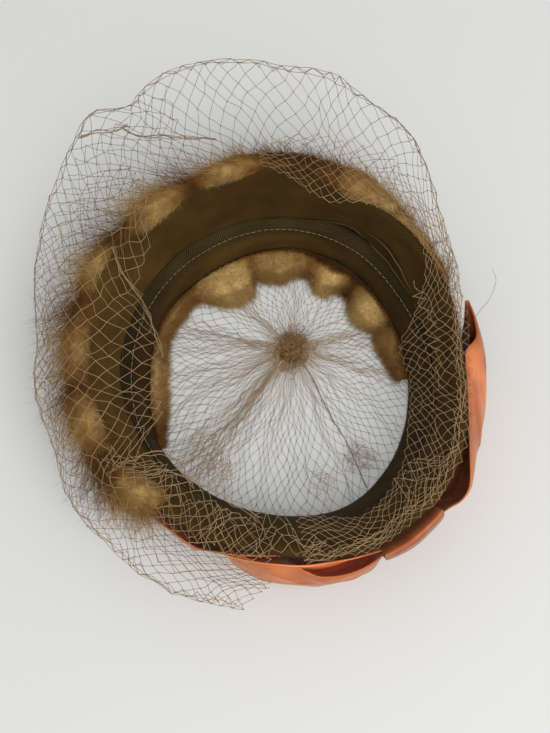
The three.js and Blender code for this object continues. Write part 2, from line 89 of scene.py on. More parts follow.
@dataclass(frozen=True)
class Table:
    """Named columns of numbers at rising places, read smoothly between its rows.

    The first column is the place. With a period the table runs round and meets itself.
    """

    columns: tuple[str, ...]
    rows: tuple[tuple[float, ...], ...]
    period: float | None = None

    def read(self, at: Array) -> dict[str, Array]:
        """Reads every column but the first.

        Args:
            at: The places to read, of any shape.

        Returns:
            An array like ``at`` for each column's name.
        """
        data = np.array(self.rows, float)
        place = np.asarray(at, float)
        if self.period:
            turn = data.copy()
            before, after = turn[-3:].copy(), turn[:3].copy()
            before[:, 0] -= self.period
            after[:, 0] += self.period
            data = np.vstack([before, turn, after])
            place = (place - turn[0, 0]) % self.period + turn[0, 0]
        knots, values = data[:, 0], data[:, 1:]
        slopes = self._slopes(knots, values)
        index = np.clip(np.searchsorted(knots, place, side="right") - 1, 0, len(knots) - 2)
        width = (knots[index + 1] - knots[index])[..., None]
        t = np.clip((place - knots[index])[..., None] / width, 0, 1)
        a, b = values[index], values[index + 1]
        m, n = slopes[index] * width, slopes[index + 1] * width
        smooth = hermite(a, m, b, n, t)
        return {name: smooth[..., i] for i, name in enumerate(self.columns[1:])}

    @staticmethod
    def _slopes(knots: Array, values: Array) -> Array:
        """Finds each row's slope from its two neighbours.

        Args:
            knots: The rows' first column.
            values: Their other columns.

        Returns:
            The slopes, shaped as the values.
        """
        slopes = np.zeros_like(values)
        gap = (knots[2:] - knots[:-2])[:, None]
        slopes[1:-1] = (values[2:] - values[:-2]) / gap
        slopes[0] = (values[1] - values[0]) / (knots[1] - knots[0])
        slopes[-1] = (values[-1] - values[-2]) / (knots[-1] - knots[-2])
        return slopes


class Ripple:
    """Smooth seeded noise: a sum of plane waves of about one length."""

    def __init__(self, seed: int, wavelength: float, waves: int = 12) -> None:
        """Draws the waves' directions, lengths and phases.

        Args:
            seed: Which noise this is.
            wavelength: The usual distance between crests, in the points' unit.
            waves: How many waves are summed.
        """
        rng = np.random.default_rng(seed)
        way = rng.normal(size=(waves, 3))
        way /= np.linalg.norm(way, axis=1)[:, None]
        self.waves = way * (2 * np.pi / (wavelength * rng.uniform(0.7, 1.5, waves)))[:, None]
        self.phase = rng.uniform(0, 2 * np.pi, waves)

    def __call__(self, points: Array) -> Array:
        """Returns the noise at points of shape (..., 2 or 3), mostly within -1 to 1."""
        waves = self.waves[:, : points.shape[-1]]
        gain = np.sqrt(2.2 * len(self.phase))
        return np.cos(points @ waves.T + self.phase).mean(-1) * gain * 0.5


def hermite(a: Array, m: Array, b: Array, n: Array, t: Array) -> Array:
    """Returns values from ``a`` to ``b``, leaving at slope ``m`` and arriving at slope ``n``."""
    return (
        a * (2 * t**3 - 3 * t**2 + 1)
        + m * (t**3 - 2 * t**2 + t)
        + b * (3 * t**2 - 2 * t**3)
        + n * (t**3 - t**2)
    )


def from_ends(share: Array, rate: float, least: float = 0.0) -> Array:
    """Returns 1 along a run, falling to ``least`` at its two ends."""
    return np.clip(np.minimum(share, 1 - share) * rate, least, 1)


def bump(x: Array, width: float) -> Array:
    """Returns a smooth hill of height 1 at 0 that has mostly gone at ``width``."""
    return np.exp(-((x / width) ** 2) * 2)


def turned(azimuth: Array) -> Array:
    """Returns azimuths in degrees brought within -180 to 180."""
    return (np.asarray(azimuth) + 180) % 360 - 180


def unit(vectors: Array) -> Array:
    """Returns vectors of length 1 along the last axis."""
    return vectors / np.maximum(np.linalg.norm(vectors, axis=-1, keepdims=True), 1e-9)


def normals(face: Array) -> Array:
    """Returns the ways that a grid of points looks."""
    return unit(np.cross(np.gradient(face, axis=0), np.gradient(face, axis=1)))


def mixed(a: Sequence[float], b: Sequence[float], share: Array) -> Array:
    """Returns colours between ``a`` and ``b``, one for each share."""
    return np.array(a) * (1 - share[..., None]) + np.array(b) * share[..., None]


# ---- the ring ----


@dataclass(frozen=True)
class Ring:
    """The hat's wall, which every other piece is placed against. Lengths are millimetres.

    Azimuths are degrees anticlockwise from +X, and shares are of the wall's height. ``centre`` is
    the wall's axis in the part's frame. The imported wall's points stand ``solid_step`` degrees
    apart, in rows at ``solid_shares``.
    """

    centre: tuple[float, float]
    band_share: float = 0.56
    wall_thick: float = 2.4
    solid_step: float = 7.5
    solid_shares: tuple[float, ...] = (0, 0.2, 0.4, 0.56, 0.78, 1.0)
    table: Table = Table(
        ("azimuth", "crown", "band", "rim", "crown_z", "rim_z", "lean", "inset"),
        (
        (0, 74, 88, 94, 4.0, 57.5, 19, 1), (30, 78, 87, 95, 5.6, 57.5, 24, 5),
        (60, 83, 89, 98.5, 6.0, 58, 24, 5), (90, 85, 90.5, 104, 6.0, 58.5, 24, 5),
        (120, 83, 90, 103, 6.0, 58, 24, 5.5), (150, 83, 89.5, 103.5, 6.0, 58, 24, 5),
        (180, 80.5, 89, 99.5, 6.0, 58, 24, 5), (210, 79.5, 86, 97.5, 5.0, 57.5, 24, 2),
        (240, 75, 83, 93, 3.0, 57, 22, 0.5), (270, 76, 83.5, 96, 2.4, 57, 0, 0),
        (300, 79.5, 92, 105, 2.2, 57.5, 0, 0), (330, 76.5, 93, 103.5, 2.4, 57.5, 0, 0)),
        360,
    )

    @classmethod
    def found(cls) -> "Ring":
        """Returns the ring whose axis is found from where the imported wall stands."""
        ring = cls((0.0, 0.0))
        azimuth, share = np.meshgrid(np.arange(0, 360, ring.solid_step), ring.solid_shares)
        outline = ring.at(azimuth, share, ring.wall_thick)
        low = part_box("velvet_wall")[0]
        return cls((low.x / MM - outline[..., 0].min(), low.y / MM - outline[..., 1].min()))

    def at(self, azimuth: Array, share: Array, out: Array) -> Array:
        """Places points by the wall.

        Args:
            azimuth: Where round the hat.
            share: Height, from 0 at the crown edge to 1 at the rim.
            out: Distance outwards from the wall's inside.

        Returns:
            Points about the hat's axis, in millimetres.
        """
        azimuth, share, out = np.broadcast_arrays(azimuth, share, out)
        row = self.table.read(azimuth)
        part = self.band_share
        crown, spread = row["crown"], row["rim"] - row["crown"]
        swell = (row["band"] - (crown + spread * part)) / (part * (1 - part))
        inside = np.clip(share, 0, 1)
        radius = crown + spread * share + swell * inside * (1 - inside) + out
        return self.about(azimuth, radius, row["crown_z"] + (row["rim_z"] - row["crown_z"]) * share)

    @staticmethod
    def about(azimuth: Array, radius: Array, z: Array) -> Array:
        """Returns points at azimuths, radii and heights about the hat's axis."""
        angle = np.radians(azimuth)
        return np.stack(np.broadcast_arrays(radius * np.cos(angle), radius * np.sin(angle), z), -1)

    def leaned(self, azimuth: Array, share: Array) -> Array:
        """Returns azimuths at the rim carried down along the lean of what is sewn outside."""
        return azimuth - self.table.read(azimuth)["lean"] * (1 - np.clip(share, 0, 1))

    def in_part(self, points: Array) -> Array:
        """Returns points about the hat's axis as metres in the part's frame."""
        return (points + np.array([*self.centre, 0.0])) * MM


# ---- meshes ----


@dataclass
class Surface:
    """Points in millimetres, faces and what varies over them, before they become a mesh."""

    points: Array
    faces: Array
    uv: Array | None = None
    colours: Array | None = None

    @classmethod
    def grid(cls, points: Array, around: bool = False, closed: bool = False) -> "Surface":
        """Joins rows of points into a surface.

        Args:
            points: Rows by columns by 3.
            around: Whether each row's end meets its start.
            closed: Whether the last row meets the first.

        Returns:
            The surface, facing as its rows and columns turn.
        """
        rows, columns = points.shape[:2]
        index = np.arange(rows * columns).reshape(rows, columns)
        if around:
            index = np.concatenate([index, index[:, :1]], 1)
        if closed:
            index = np.concatenate([index, index[:1]], 0)
        corners = [index[:-1, :-1], index[:-1, 1:], index[1:, 1:], index[1:, :-1]]
        faces = np.stack(corners, -1).reshape(-1, 4)
        return cls(points.reshape(-1, 3), faces)

    @classmethod
    def cloth(
        cls, front: Array, back: Array, uv: Array | None, shades: tuple[Array, Array] | None = None,
        around: bool = False,
    ) -> "Surface":
        """Closes two faces of a cloth round their edges.

        Args:
            front: The face that shows, rows by columns by 3.
            back: The other face, of the same shape.
            uv: Rows by columns by 2, in millimetres of cloth, if its finish follows it.
            shades: The colours on each face, each rows by columns by 3, if they vary.
            around: Whether each row's end meets its start.

        Returns:
            One closed surface.
        """
        made = cls.grid(np.concatenate([front, back[::-1]]), around, True)
        if uv is not None:
            made.uv = np.concatenate([uv, uv[::-1]]).reshape(-1, 2)
        if shades is not None:
            made.colours = np.concatenate([shades[0], shades[1][::-1]]).reshape(-1, 3)
        if around:
            return made.outward()
        rows, columns = front.shape[:2]
        index = np.arange(2 * rows * columns).reshape(2 * rows, columns)
        ends = []
        for column, flip in ((0, False), (columns - 1, True)):
            low, high = index[:rows, column], index[rows:, column][::-1]
            end = np.stack([low[:-1], low[1:], high[1:], high[:-1]], -1)
            ends.append(end[:, ::-1] if flip else end)
        made.faces = np.concatenate([made.faces, *ends])
        return made.outward()

    def outward(self) -> "Surface":
        """Returns the closed surface with its faces looking out."""
        a, b, c = (self.points[self.faces[:, i]] for i in range(3))
        if (a * np.cross(b, c)).sum() < 0:
            self.faces = self.faces[:, ::-1]
        return self

    @classmethod
    def threads(
        cls, paths: Array, radius: Array | float, colours: Array | Colour, sides: int = 3
    ) -> "Surface":
        """Makes a thin tube along each path.

        Args:
            paths: Threads by points by 3.
            radius: Threads by points, or one for all.
            colours: Threads by points by 3, or one for all.
            sides: Faces round a tube.

        Returns:
            The tubes as one surface.
        """
        count, steps = paths.shape[:2]
        way = unit(np.gradient(paths, axis=1))
        helper = np.where(np.abs(way[..., 2:3]) > 0.8, [[[1.0, 0, 0]]], [[[0, 0, 1.0]]])
        side = unit(np.cross(way, helper))
        up = np.cross(way, side)
        angle = 2 * np.pi * np.arange(sides) / sides
        ring = side[:, :, None] * np.cos(angle)[:, None]
        ring = ring + up[:, :, None] * np.sin(angle)[:, None]
        radius = np.broadcast_to(radius, paths.shape[:2])
        points = paths[:, :, None] + ring * radius[:, :, None, None]
        index = np.arange(count * steps * sides).reshape(count, steps, sides)
        right = np.roll(index, -1, 2)
        faces = np.stack([index[:, :-1], right[:, :-1], right[:, 1:], index[:, 1:]], -1)
        shade = np.repeat(np.broadcast_to(colours, paths.shape)[:, :, None], sides, 2)
        return cls(points.reshape(-1, 3), faces.reshape(-1, 4), None, shade.reshape(-1, 3))

    @classmethod
    def blades(cls, paths: Array, width: Array, colours: Array, facing: Array) -> "Surface":
        """Makes a flat pointed blade of hair along each path.

        Args:
            paths: Hairs by points by 3.
            width: Hairs by 1, the width at the root.
            colours: Hairs by points by 3.
            facing: Hairs by 3, roughly the way that each blade's flat looks.

        Returns:
            The blades as one surface of triangles.
        """
        count, steps = paths.shape[:2]
        way = unit(np.gradient(paths, axis=1))
        side = unit(np.cross(way, facing[:, None]))
        narrowest = 0.55
        taper = np.linspace(1, narrowest, steps - 1)
        half = side[:, :-1] * (width * taper / 2)[..., None]
        body = np.stack([paths[:, :-1] - half, paths[:, :-1] + half], 2).reshape(count, -1, 3)
        points = np.concatenate([body, paths[:, -1:]], 1)
        size = 2 * (steps - 1) + 1
        start = np.arange(count)[:, None] * size
        corners = []
        for i in range(steps - 2):
            a = 2 * i
            corners += [[a, a + 1, a + 3], [a, a + 3, a + 2]]
        corners.append([size - 3, size - 2, size - 1])
        faces = (start[:, :, None] + np.array(corners)[None]).reshape(-1, 3)
        body_shade = np.repeat(colours[:, :-1], 2, 1)
        shade = np.concatenate([body_shade, colours[:, -1:]], 1)
        return cls(points.reshape(-1, 3), faces, None, shade.reshape(-1, 3))

    @classmethod
    def joined(cls, parts: Sequence["Surface"]) -> "Surface":
        """Puts several coloured surfaces together.

        Args:
            parts: The surfaces, with the same kind of faces.

        Returns:
            One surface.
        """
        shift = np.cumsum([0] + [len(p.points) for p in parts[:-1]])
        faces = np.concatenate([p.faces + s for p, s in zip(parts, shift)])
        colours = np.concatenate([p.colours for p in parts])
        return cls(np.concatenate([p.points for p in parts]), faces, None, colours)

    def piece(
        self, name: str, ring: Ring, finish: bpy.types.Material, slot: Slot, node: str | None = None
    ) -> bpy.types.Object:
        """Turns the surface into a piece of the hat.

        Args:
            name: The piece's name.
            ring: Where the hat stands.
            finish: Its material.
            slot: The record's material slot; not used.
            node: The solid that it is seen instead of, if any.

        Returns:
            The Blender object, riding on the hat.
        """
        mesh = bpy.data.meshes.new(name)
        corners = self.faces.shape[1]
        mesh.vertices.add(len(self.points))
        mesh.vertices.foreach_set("co", ring.in_part(self.points).astype(np.float32).ravel())
        mesh.loops.add(self.faces.size)
        mesh.loops.foreach_set("vertex_index", self.faces.astype(np.int32).ravel())
        mesh.polygons.add(len(self.faces))
        starts = np.arange(0, self.faces.size, corners, dtype=np.int32)
        mesh.polygons.foreach_set("loop_start", starts)
        if self.uv is not None:
            layer = mesh.uv_layers.new(name="cloth_mm")
            layer.data.foreach_set("uv", self.uv[self.faces.ravel()].astype(np.float32).ravel())
        if self.colours is not None:
            shade = mesh.color_attributes.new("shade", "FLOAT_COLOR", "POINT")
            rgba = np.concatenate([self.colours, np.ones((len(self.colours), 1))], 1)
            shade.data.foreach_set("color", rgba.astype(np.float32).ravel())
        mesh.update(calc_edges=True)
        mesh.shade_smooth()
        mesh.materials.append(finish)
        made = bpy.data.objects.new(name, mesh)
        bpy.context.scene.collection.objects.link(made)
        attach(made, "root")
        if node:
            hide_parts(node)
        LOG.info("%s: %d faces", name, len(self.faces))
        return made


# ---- shader tools ----


class Value:
    """A socket that carries numbers. Arithmetic on it adds Math nodes."""

    def __init__(self, bench: "Bench", socket: bpy.types.NodeSocket) -> None:
        """Keeps the socket and the bench that it belongs to."""
        self.bench, self.socket = bench, socket

    def _math(self, operation: str, *others: "Value | float") -> "Value":
        """Returns one Math node's result for this value and others."""
        sockets = dict(enumerate((self, *others)))
        node = self.bench.node("ShaderNodeMath", {"operation": operation}, sockets)
        return Value(self.bench, node.outputs[0])

    def __add__(self, other: "Value | float") -> "Value":
        """Returns the sum."""
        return self._math("ADD", other)

    __radd__ = __add__

    def __sub__(self, other: "Value | float") -> "Value":
        """Returns the difference."""
        return self._math("SUBTRACT", other)

    def __rsub__(self, other: float) -> "Value":
        """Returns the difference, the other way round."""
        return self * -1.0 + other

    def __mul__(self, other: "Value | float") -> "Value":
        """Returns the product."""
        return self._math("MULTIPLY", other)

    __rmul__ = __mul__

    def sine(self) -> "Value":
        """Returns the sine."""
        return self._math("SINE")


class Bench:
    """One material being made."""

    def __init__(self, name: str) -> None:
        """Starts an empty material."""
        self.material = bpy.data.materials.new(name)
        self.material.use_nodes = True
        self.tree = self.material.node_tree
        self.tree.nodes.clear()

    def node(
        self, kind: str, settings: dict[str, Any] | None = None,
        sockets: dict[Any, Any] | None = None,
    ) -> bpy.types.Node:
        """Adds a node.

        Args:
            kind: Blender's name for its type.
            settings: What is set on the node itself. ``stops`` holds a ramp's places and colours.
            sockets: Numbers, colours, values or sockets for its inputs.

        Returns:
            The node.
        """
        made = self.tree.nodes.new(kind)
        for key, value in (settings or {}).items():
            if key == "stops":
                self._stops(made.color_ramp, value)
            else:
                setattr(made, key, value)
        for key, value in (sockets or {}).items():
            source = value.socket if isinstance(value, Value) else value
            if isinstance(source, bpy.types.NodeSocket):
                self.tree.links.new(source, made.inputs[key])
            else:
                made.inputs[key].default_value = source
        return made

    @staticmethod
    def _stops(ramp: bpy.types.ColorRamp, stops: Sequence[tuple[float, Colour]]) -> None:
        """Sets a ramp's stops."""
        while len(ramp.elements) < len(stops):
            ramp.elements.new(1.0)
        for element, (place, colour) in zip(ramp.elements, stops):
            element.position = place
            element.color = (*colour, 1.0)

    def cloth(self) -> tuple[Value, Value]:
        """Returns the cloth's two directions in millimetres, along it and across it."""
        layer = self.node("ShaderNodeUVMap", {"uv_map": "cloth_mm"})
        parts = self.node("ShaderNodeSeparateXYZ", None, {0: layer.outputs[0]})
        return Value(self, parts.outputs[0]), Value(self, parts.outputs[1])

    def vector(self, x: Value, y: Value) -> bpy.types.NodeSocket:
        """Returns two numbers as a vector with no height."""
        return self.node("ShaderNodeCombineXYZ", None, {0: x, 1: y, 2: 0.0}).outputs[0]

    def noise(self, at: bpy.types.NodeSocket | None, scale: float, detail: float) -> Value:
        """Returns noise from 0 to 1.

        Args:
            at: Where it is read, or None for the part's own coordinates.
            scale: Features to a unit.
            detail: How many finer octaves are added.

        Returns:
            The noise.
        """
        place = at or self.node("ShaderNodeTexCoord").outputs["Object"]
        sockets = {"Vector": place, "Scale": scale, "Detail": detail}
        made = self.node("ShaderNodeTexNoise", None, sockets)
        return Value(self, made.outputs["Fac"])

    def ramp(self, at: Value, stops: Sequence[tuple[float, Colour]]) -> bpy.types.NodeSocket:
        """Returns a colour that runs through stops as a value rises."""
        return self.node("ShaderNodeValToRGB", {"stops": stops}, {0: at}).outputs["Color"]

    def blend(self, share: Value, a: Colour, b: Colour) -> bpy.types.NodeSocket:
        """Returns a colour between two, at a share from 0 to 1."""
        sockets = {0: share, 6: (*a, 1.0), 7: (*b, 1.0)}
        return self.node("ShaderNodeMix", {"data_type": "RGBA"}, sockets).outputs[2]

    def shade(self) -> bpy.types.NodeSocket:
        """Returns the shade kept on the mesh."""
        return self.node("ShaderNodeAttribute", {"attribute_name": "shade"}).outputs["Color"]

    def shaded(self, colour: bpy.types.NodeSocket) -> bpy.types.NodeSocket:
        """Returns a colour times the shade kept on the mesh."""
        settings = {"data_type": "RGBA", "blend_type": "MULTIPLY", "clamp_result": False}
        return self.node("ShaderNodeMix", settings, {0: 1.0, 6: colour, 7: self.shade()}).outputs[2]

    def relief(self, height: Value, depth: float, strength: float) -> bpy.types.NodeSocket:
        """Returns a normal bent by a height, ``depth`` metres high at 1."""
        sockets = {"Height": height, "Distance": depth, "Strength": strength}
        return self.node("ShaderNodeBump", None, sockets).outputs[0]

    def finish(self, sockets: dict[str, Any]) -> bpy.types.Material:
        """Ends the material in one shader with these inputs, and returns it."""
        shader = self.node("ShaderNodeBsdfPrincipled", None, sockets)
        self.node("ShaderNodeOutputMaterial", None, {0: shader.outputs[0]})
        return self.material


# ---- finishes ----


@dataclass(frozen=True)
class TwillFinish:
    """Olive-brown cloth with a fine diagonal twill and a soft lustre."""

    deep: Colour = (0.036, 0.019, 0.0032)
    light: Colour = (0.146, 0.080, 0.018)
    pitch: float = 1.65

    def make(self) -> bpy.types.Material:
        """Returns the material."""
        bench = Bench("facing_twill")
        along, across = bench.cloth()
        wave = ((along + across) * (FULL_TURN / self.pitch)).sine()
        cross = ((along - across * 0.4) * (FULL_TURN / (self.pitch * 0.45))).sine()
        shown = bench.noise(bench.vector(along * 0.03, across * 0.07), 1.0, 2) * 0.5 - 0.12
        grain = bench.noise(bench.vector(along * 3.0, across * 3.0), 1.0, 2)
        cloudy = bench.noise(bench.vector(along * 0.05, across * 0.09), 1.0, 4)
        tone = cloudy * 0.66 + wave * shown + cross * 0.08 + grain * 0.36 - 0.085
        return bench.finish({
            "Base Color": bench.shaded(bench.ramp(tone, ((0.15, self.deep), (0.85, self.light)))),
            "Roughness": 0.7,
            "Specular IOR Level": 0.08,
            "Sheen Weight": 0.04,
            "Sheen Roughness": 0.4,
            "Sheen Tint": (0.75, 0.5, 0.15, 1.0),
            "Normal": bench.relief(wave * shown * 2.2 + cross * 0.2 + grain * 0.6, 0.00022, 0.9),
        })


@dataclass(frozen=True)
class RibbedFinish:
    """Dark ribbon with fine slanting ribs, broken by its grain."""

    deep: Colour = (0.012, 0.0075, 0.0025)
    light: Colour = (0.132, 0.085, 0.026)
    pitch: float = 1.65

    def make(self) -> bpy.types.Material:
        """Returns the material."""
        bench = Bench("sweatband_ribs")
        along, across = bench.cloth()
        wander = bench.noise(bench.vector(along * 0.2, across * 0.2), 1.0, 2)
        rib = ((along - across + wander * 1.2) * (FULL_TURN / self.pitch)).sine()
        grain = bench.noise(bench.vector(along * 1.3, across * 1.3), 1.0, 3)
        cloudy = bench.noise(bench.vector(along * 0.04, across * 0.08), 1.0, 3)
        tone = cloudy * 0.42 + rib * 0.15 + grain * 0.45
        return bench.finish({
            "Base Color": bench.shaded(bench.ramp(tone, ((0.2, self.deep), (0.9, self.light)))),
            "Roughness": 0.7,
            "Specular IOR Level": 0.08,
            "Sheen Weight": 0.04,
            "Sheen Roughness": 0.4,
            "Sheen Tint": (0.6, 0.45, 0.25, 1.0),
            "Normal": bench.relief(rib * 0.35 + grain * 0.5, 0.00026, 1.0),
        })


@dataclass(frozen=True)
class SatinFinish:
    """Smooth copper satin with fine threads along it, and painted light and shade."""

    name: str
    deep: Colour = (0.29, 0.068, 0.024)
    main: Colour = (0.51, 0.148, 0.054)
    light: Colour = (0.70, 0.25, 0.105)

    def make(self) -> bpy.types.Material:
        """Returns the material."""
        bench = Bench(self.name)
        along, across = bench.cloth()
        thread = bench.noise(bench.vector(along * 1.4, across * 2.2), 1.0, 3)
        cloudy = bench.noise(bench.vector(along * 0.05, across * 0.16), 1.0, 3)
        tone = cloudy * 0.8 + thread * 0.44 - 0.13
        colour = bench.ramp(tone, ((0.2, self.deep), (0.5, self.main), (0.85, self.light)))
        return bench.finish({
            "Base Color": bench.shaded(colour),
            "Roughness": 0.4,
            "Specular IOR Level": 0.4,
            "Specular Tint": (1.0, 0.66, 0.42, 1.0),
            "Anisotropic": 0.5,
            "Sheen Weight": 0.14,
            "Sheen Roughness": 0.35,
            "Sheen Tint": (1.0, 0.62, 0.4, 1.0),
            "Normal": bench.relief(thread * 0.5 + cloudy * 1.5, 0.00022, 0.6),
        })


@dataclass(frozen=True)
class VelvetFinish:
    """Black-brown velvet."""

    deep: Colour = (0.004, 0.003, 0.002)
    light: Colour = (0.022, 0.014, 0.009)

    def make(self) -> bpy.types.Material:
        """Returns the material."""
        bench = Bench("velvet_pile")
        fine = bench.noise(None, 1900.0, 3)
        broad = bench.noise(None, 160.0, 3)
        tone = fine * 0.5 + broad * 0.6
        return bench.finish({
            "Base Color": bench.ramp(tone, ((0.35, self.deep), (0.8, self.light))),
            "Roughness": 0.95,
            "Specular IOR Level": 0.1,
            "Sheen Weight": 0.3,
            "Sheen Roughness": 0.5,
            "Sheen Tint": (0.5, 0.36, 0.25, 1.0),
            "Normal": bench.relief(fine * 0.6 + broad, 0.0005, 1.0),
        })


@dataclass(frozen=True)
class StrandFinish:
    """Hair or thread whose colour is kept on the mesh, so that each strand has its own."""

    name: str
    roughness: float = 0.6
    sheen: float = 0.0
    specular: float = 0.25

    def make(self) -> bpy.types.Material:
        """Returns the material."""
        bench = Bench(self.name)
        return bench.finish({
            "Base Color": bench.shade(),
            "Roughness": self.roughness,
            "Specular IOR Level": self.specular,
            "Sheen Weight": self.sheen,
            "Sheen Roughness": 0.6,
            "Sheen Tint": (1.0, 0.85, 0.6, 1.0),
        })


@dataclass(frozen=True)
class FloorFinish:
    """A plain pale surface."""

    colour: Colour = (0.72, 0.725, 0.71)
    darkest: float = 0.985

    def make(self) -> bpy.types.Material:
        """Returns the material."""
        bench = Bench("floor_pale")
        grain = bench.noise(None, 2.0, 2)
        low = tuple(self.darkest * c for c in self.colour)
        return bench.finish({
            "Base Color": bench.blend(grain, low, self.colour),
            "Roughness": 0.9,
            "Specular IOR Level": 0.1,
        })


# ---- the ring's cloth ----


@dataclass(frozen=True)
class Fold:
    """A ridge in the facing.

    Attributes:
        azimuth: Its middle, in degrees.
        share: Its middle's share of the wall's height.
        along: Its half width in degrees.
        tall: Its half height in shares.
        depth: How far it stands in, in millimetres.
        slant: How far it rises from its middle to its side, in shares.
    """

    azimuth: float
    share: float
    along: float
    tall: float
    depth: float
    slant: float = 0.0

    def push(self, azimuth: Array, share: Array) -> Array:
        """Returns how far the cloth stands inwards at places on the wall."""
        beside = turned(azimuth - self.azimuth)
        above = share - self.share - self.slant * beside / self.along
        return self.depth * bump(beside, self.along) * bump(above, self.tall)


@dataclass
class RingCloth:
    """The velvet wall, its facing and its ribbed sweatband. Lengths are millimetres.

    Each band's cloth ends at the azimuth ``lap``, and the facing's pleat is at ``pleat_at``.
    """

    ring: Ring
    stitch: float = 2.9
    stitch_gap: float = 0.6
    stitch_share: float = 0.47
    lap: float = 206.0
    pleat_at: float = 42.0
    pleat_deep: float = 1.9
    folds: tuple[Fold, ...] = (
        Fold(55, 0.8, 6, 0.2, 1.6, 0.1),
        Fold(-52, 0.72, 10, 0.16, 4.2),
        Fold(-36, 0.8, 9, 0.2, 1.8),
        Fold(-70, 0.82, 12, 0.16, 1.6),
        Fold(8, 0.74, 12, 0.12, 1.4, 0.15),
        Fold(-12, 0.84, 10, 0.1, 1.3, -0.2),
        Fold(205, 0.78, 7, 0.2, 1.8, 0.1),
        Fold(218, 0.8, 5, 0.2, 1.5),
        Fold(238, 0.76, 9, 0.18, 2.0),
        Fold(186, 0.84, 6, 0.1, 1.0),
    )
    # The facing's section from its lower edge up over the rim, and the sweatband's from its upper
    # edge down to the crown hole.
    facing_rows: Table = Table(("place", "share", "out"), (
        (0.0, 0.566, -1.5), (0.03, 0.554, -2.5), (0.07, 0.562, -3.1), (0.14, 0.6, -2.9),
        (0.34, 0.74, -2.5), (0.54, 0.88, -2.2), (0.7, 0.975, -2.1), (0.78, 1.012, -1.7),
        (0.84, 1.034, -0.4), (0.9, 1.034, 1.6), (0.95, 1.008, 3.0), (1.0, 0.97, 3.2)))
    band_rows: Table = Table(("place", "share", "out"), (
        (0.0, 0.556, -0.25), (0.06, 0.545, -0.9), (0.14, 0.52, -1.4), (0.3, 0.43, -1.5),
        (0.6, 0.24, -1.5), (0.9, 0.03, -1.4), (1.0, -0.015, -0.8)))
    # Painted light and shade on the facing and the sweatband round the hat, from how light falls.
    painted_light_rows: Table = Table(("azimuth", "facing", "band"), (
        (0, 0.72, 0.5), (25, 0.66, 0.55), (45, 0.62, 0.7), (65, 0.6, 0.85), (90, 0.6, 1.0),
        (115, 0.68, 1.0), (140, 0.85, 0.75), (165, 1.05, 0.48), (195, 1.1, 0.42), (225, 0.95, 0.45),
        (255, 0.75, 0.5), (290, 0.66, 0.5), (325, 0.7, 0.5)), 360)
    # How far the facing's lower edge rises, and where its pleat runs.
    edge_rows: Table = Table(("azimuth", "lift"), (
        (-140, 0), (25, 0), (39, 0.015), (50, 0.045), (57, 0.1), (62, 0.135), (68, 0.11),
        (76, 0.04), (84, 0), (200, 0)))
    pleat_rows: Table = Table(("azimuth", "share"), (
        (22, 0.48), (26.4, 0.54), (32.6, 0.633), (41.6, 0.735), (48.9, 0.785), (53.7, 0.795),
        (58.7, 0.775), (66, 0.72)))

    def lift(self, azimuth: Array, share: Array) -> Array:
        """Returns how far the facing's cloth is lifted at places on the wall."""
        return self.edge_rows.read(turned(azimuth))["lift"] * np.clip((0.86 - share) / 0.3, 0, 1)

    @staticmethod
    def uv(azimuth: Array, points: Array) -> Array:
        """Returns the cloth's own millimetres: round the hat and along the section."""
        step = np.linalg.norm(np.diff(points, axis=0), axis=2).mean(1)
        across = np.concatenate([[0], np.cumsum(step)])
        along = np.radians(azimuth) * CLOTH_RADIUS
        return np.stack(np.broadcast_arrays(along[None], across[:, None]), -1)

    @staticmethod
    def unrolled(azimuth: Array, share: Array, radius: float) -> Array:
        """Returns places on the wall as if it lay flat, unrolled at a radius."""
        return np.stack([np.radians(azimuth) * radius, share * WALL_HEIGHT, 0 * share], -1)

    def band(
        self, rows: Table, counts: tuple[int, int], thick: float, push: OnWall, shade: OnWall,
        lift: OnWall | None = None,
    ) -> Surface:
        """Makes a closed band of cloth round the hat.

        Args:
            rows: The section's share and out, read along it from 0 to 1.
            counts: Columns round the hat, and points along the section.
            thick: The cloth's thickness.
            push: How far it stands in.
            shade: The colour that its finish is multiplied by.
            lift: How far up it is moved.

        Returns:
            The band.
        """
        azimuth = self.lap + np.linspace(0, 360, counts[0] + 1)
        read = rows.read(np.linspace(0, 1, counts[1]))
        share = read["share"][:, None] + 0 * azimuth[None]
        share = share + lift(azimuth[None], share) if lift else share
        face = self.ring.at(azimuth[None], share, read["out"][:, None] - push(azimuth[None], share))
        way = unit(np.gradient(face, axis=0))
        around = unit(np.gradient(face, axis=1))
        back = face - unit(np.cross(around, way)) * thick
        tone = shade(azimuth[None], share)
        return Surface.cloth(face, back, self.uv(azimuth, face), (tone, tone))

    def facing(self) -> bpy.types.Object:
        """Makes the smooth facing, from its turned lower edge over the rim to the outside."""
        rough, fine = Ripple(4, 26), Ripple(5, 9)
        crisp, fade, wide, flat_top = 220, 9, 27, 0.12

        def push(azimuth: Array, share: Array) -> Array:
            """Returns the facing's folds, waves and pleat, all gone at its turned upper edge."""
            azimuth, share = np.broadcast_arrays(azimuth, share)
            place = self.unrolled(azimuth, share, CLOTH_RADIUS)
            depth = 0.55 * rough(place) + 0.16 * fine(place)
            for fold in self.folds:
                depth = depth + fold.push(azimuth, share)
            beside = bump(turned(azimuth - self.pleat_at), wide)
            pleat = self.pleat_rows.read(turned(azimuth))["share"]
            over = 1 / (1 + np.exp(-(share - pleat) * crisp))
            fallen = np.exp(-np.clip(share - pleat, 0, 1) * fade)
            depth = depth + self.pleat_deep * over * fallen * beside
            return depth * np.clip((1.0 - share) / flat_top, 0, 1)

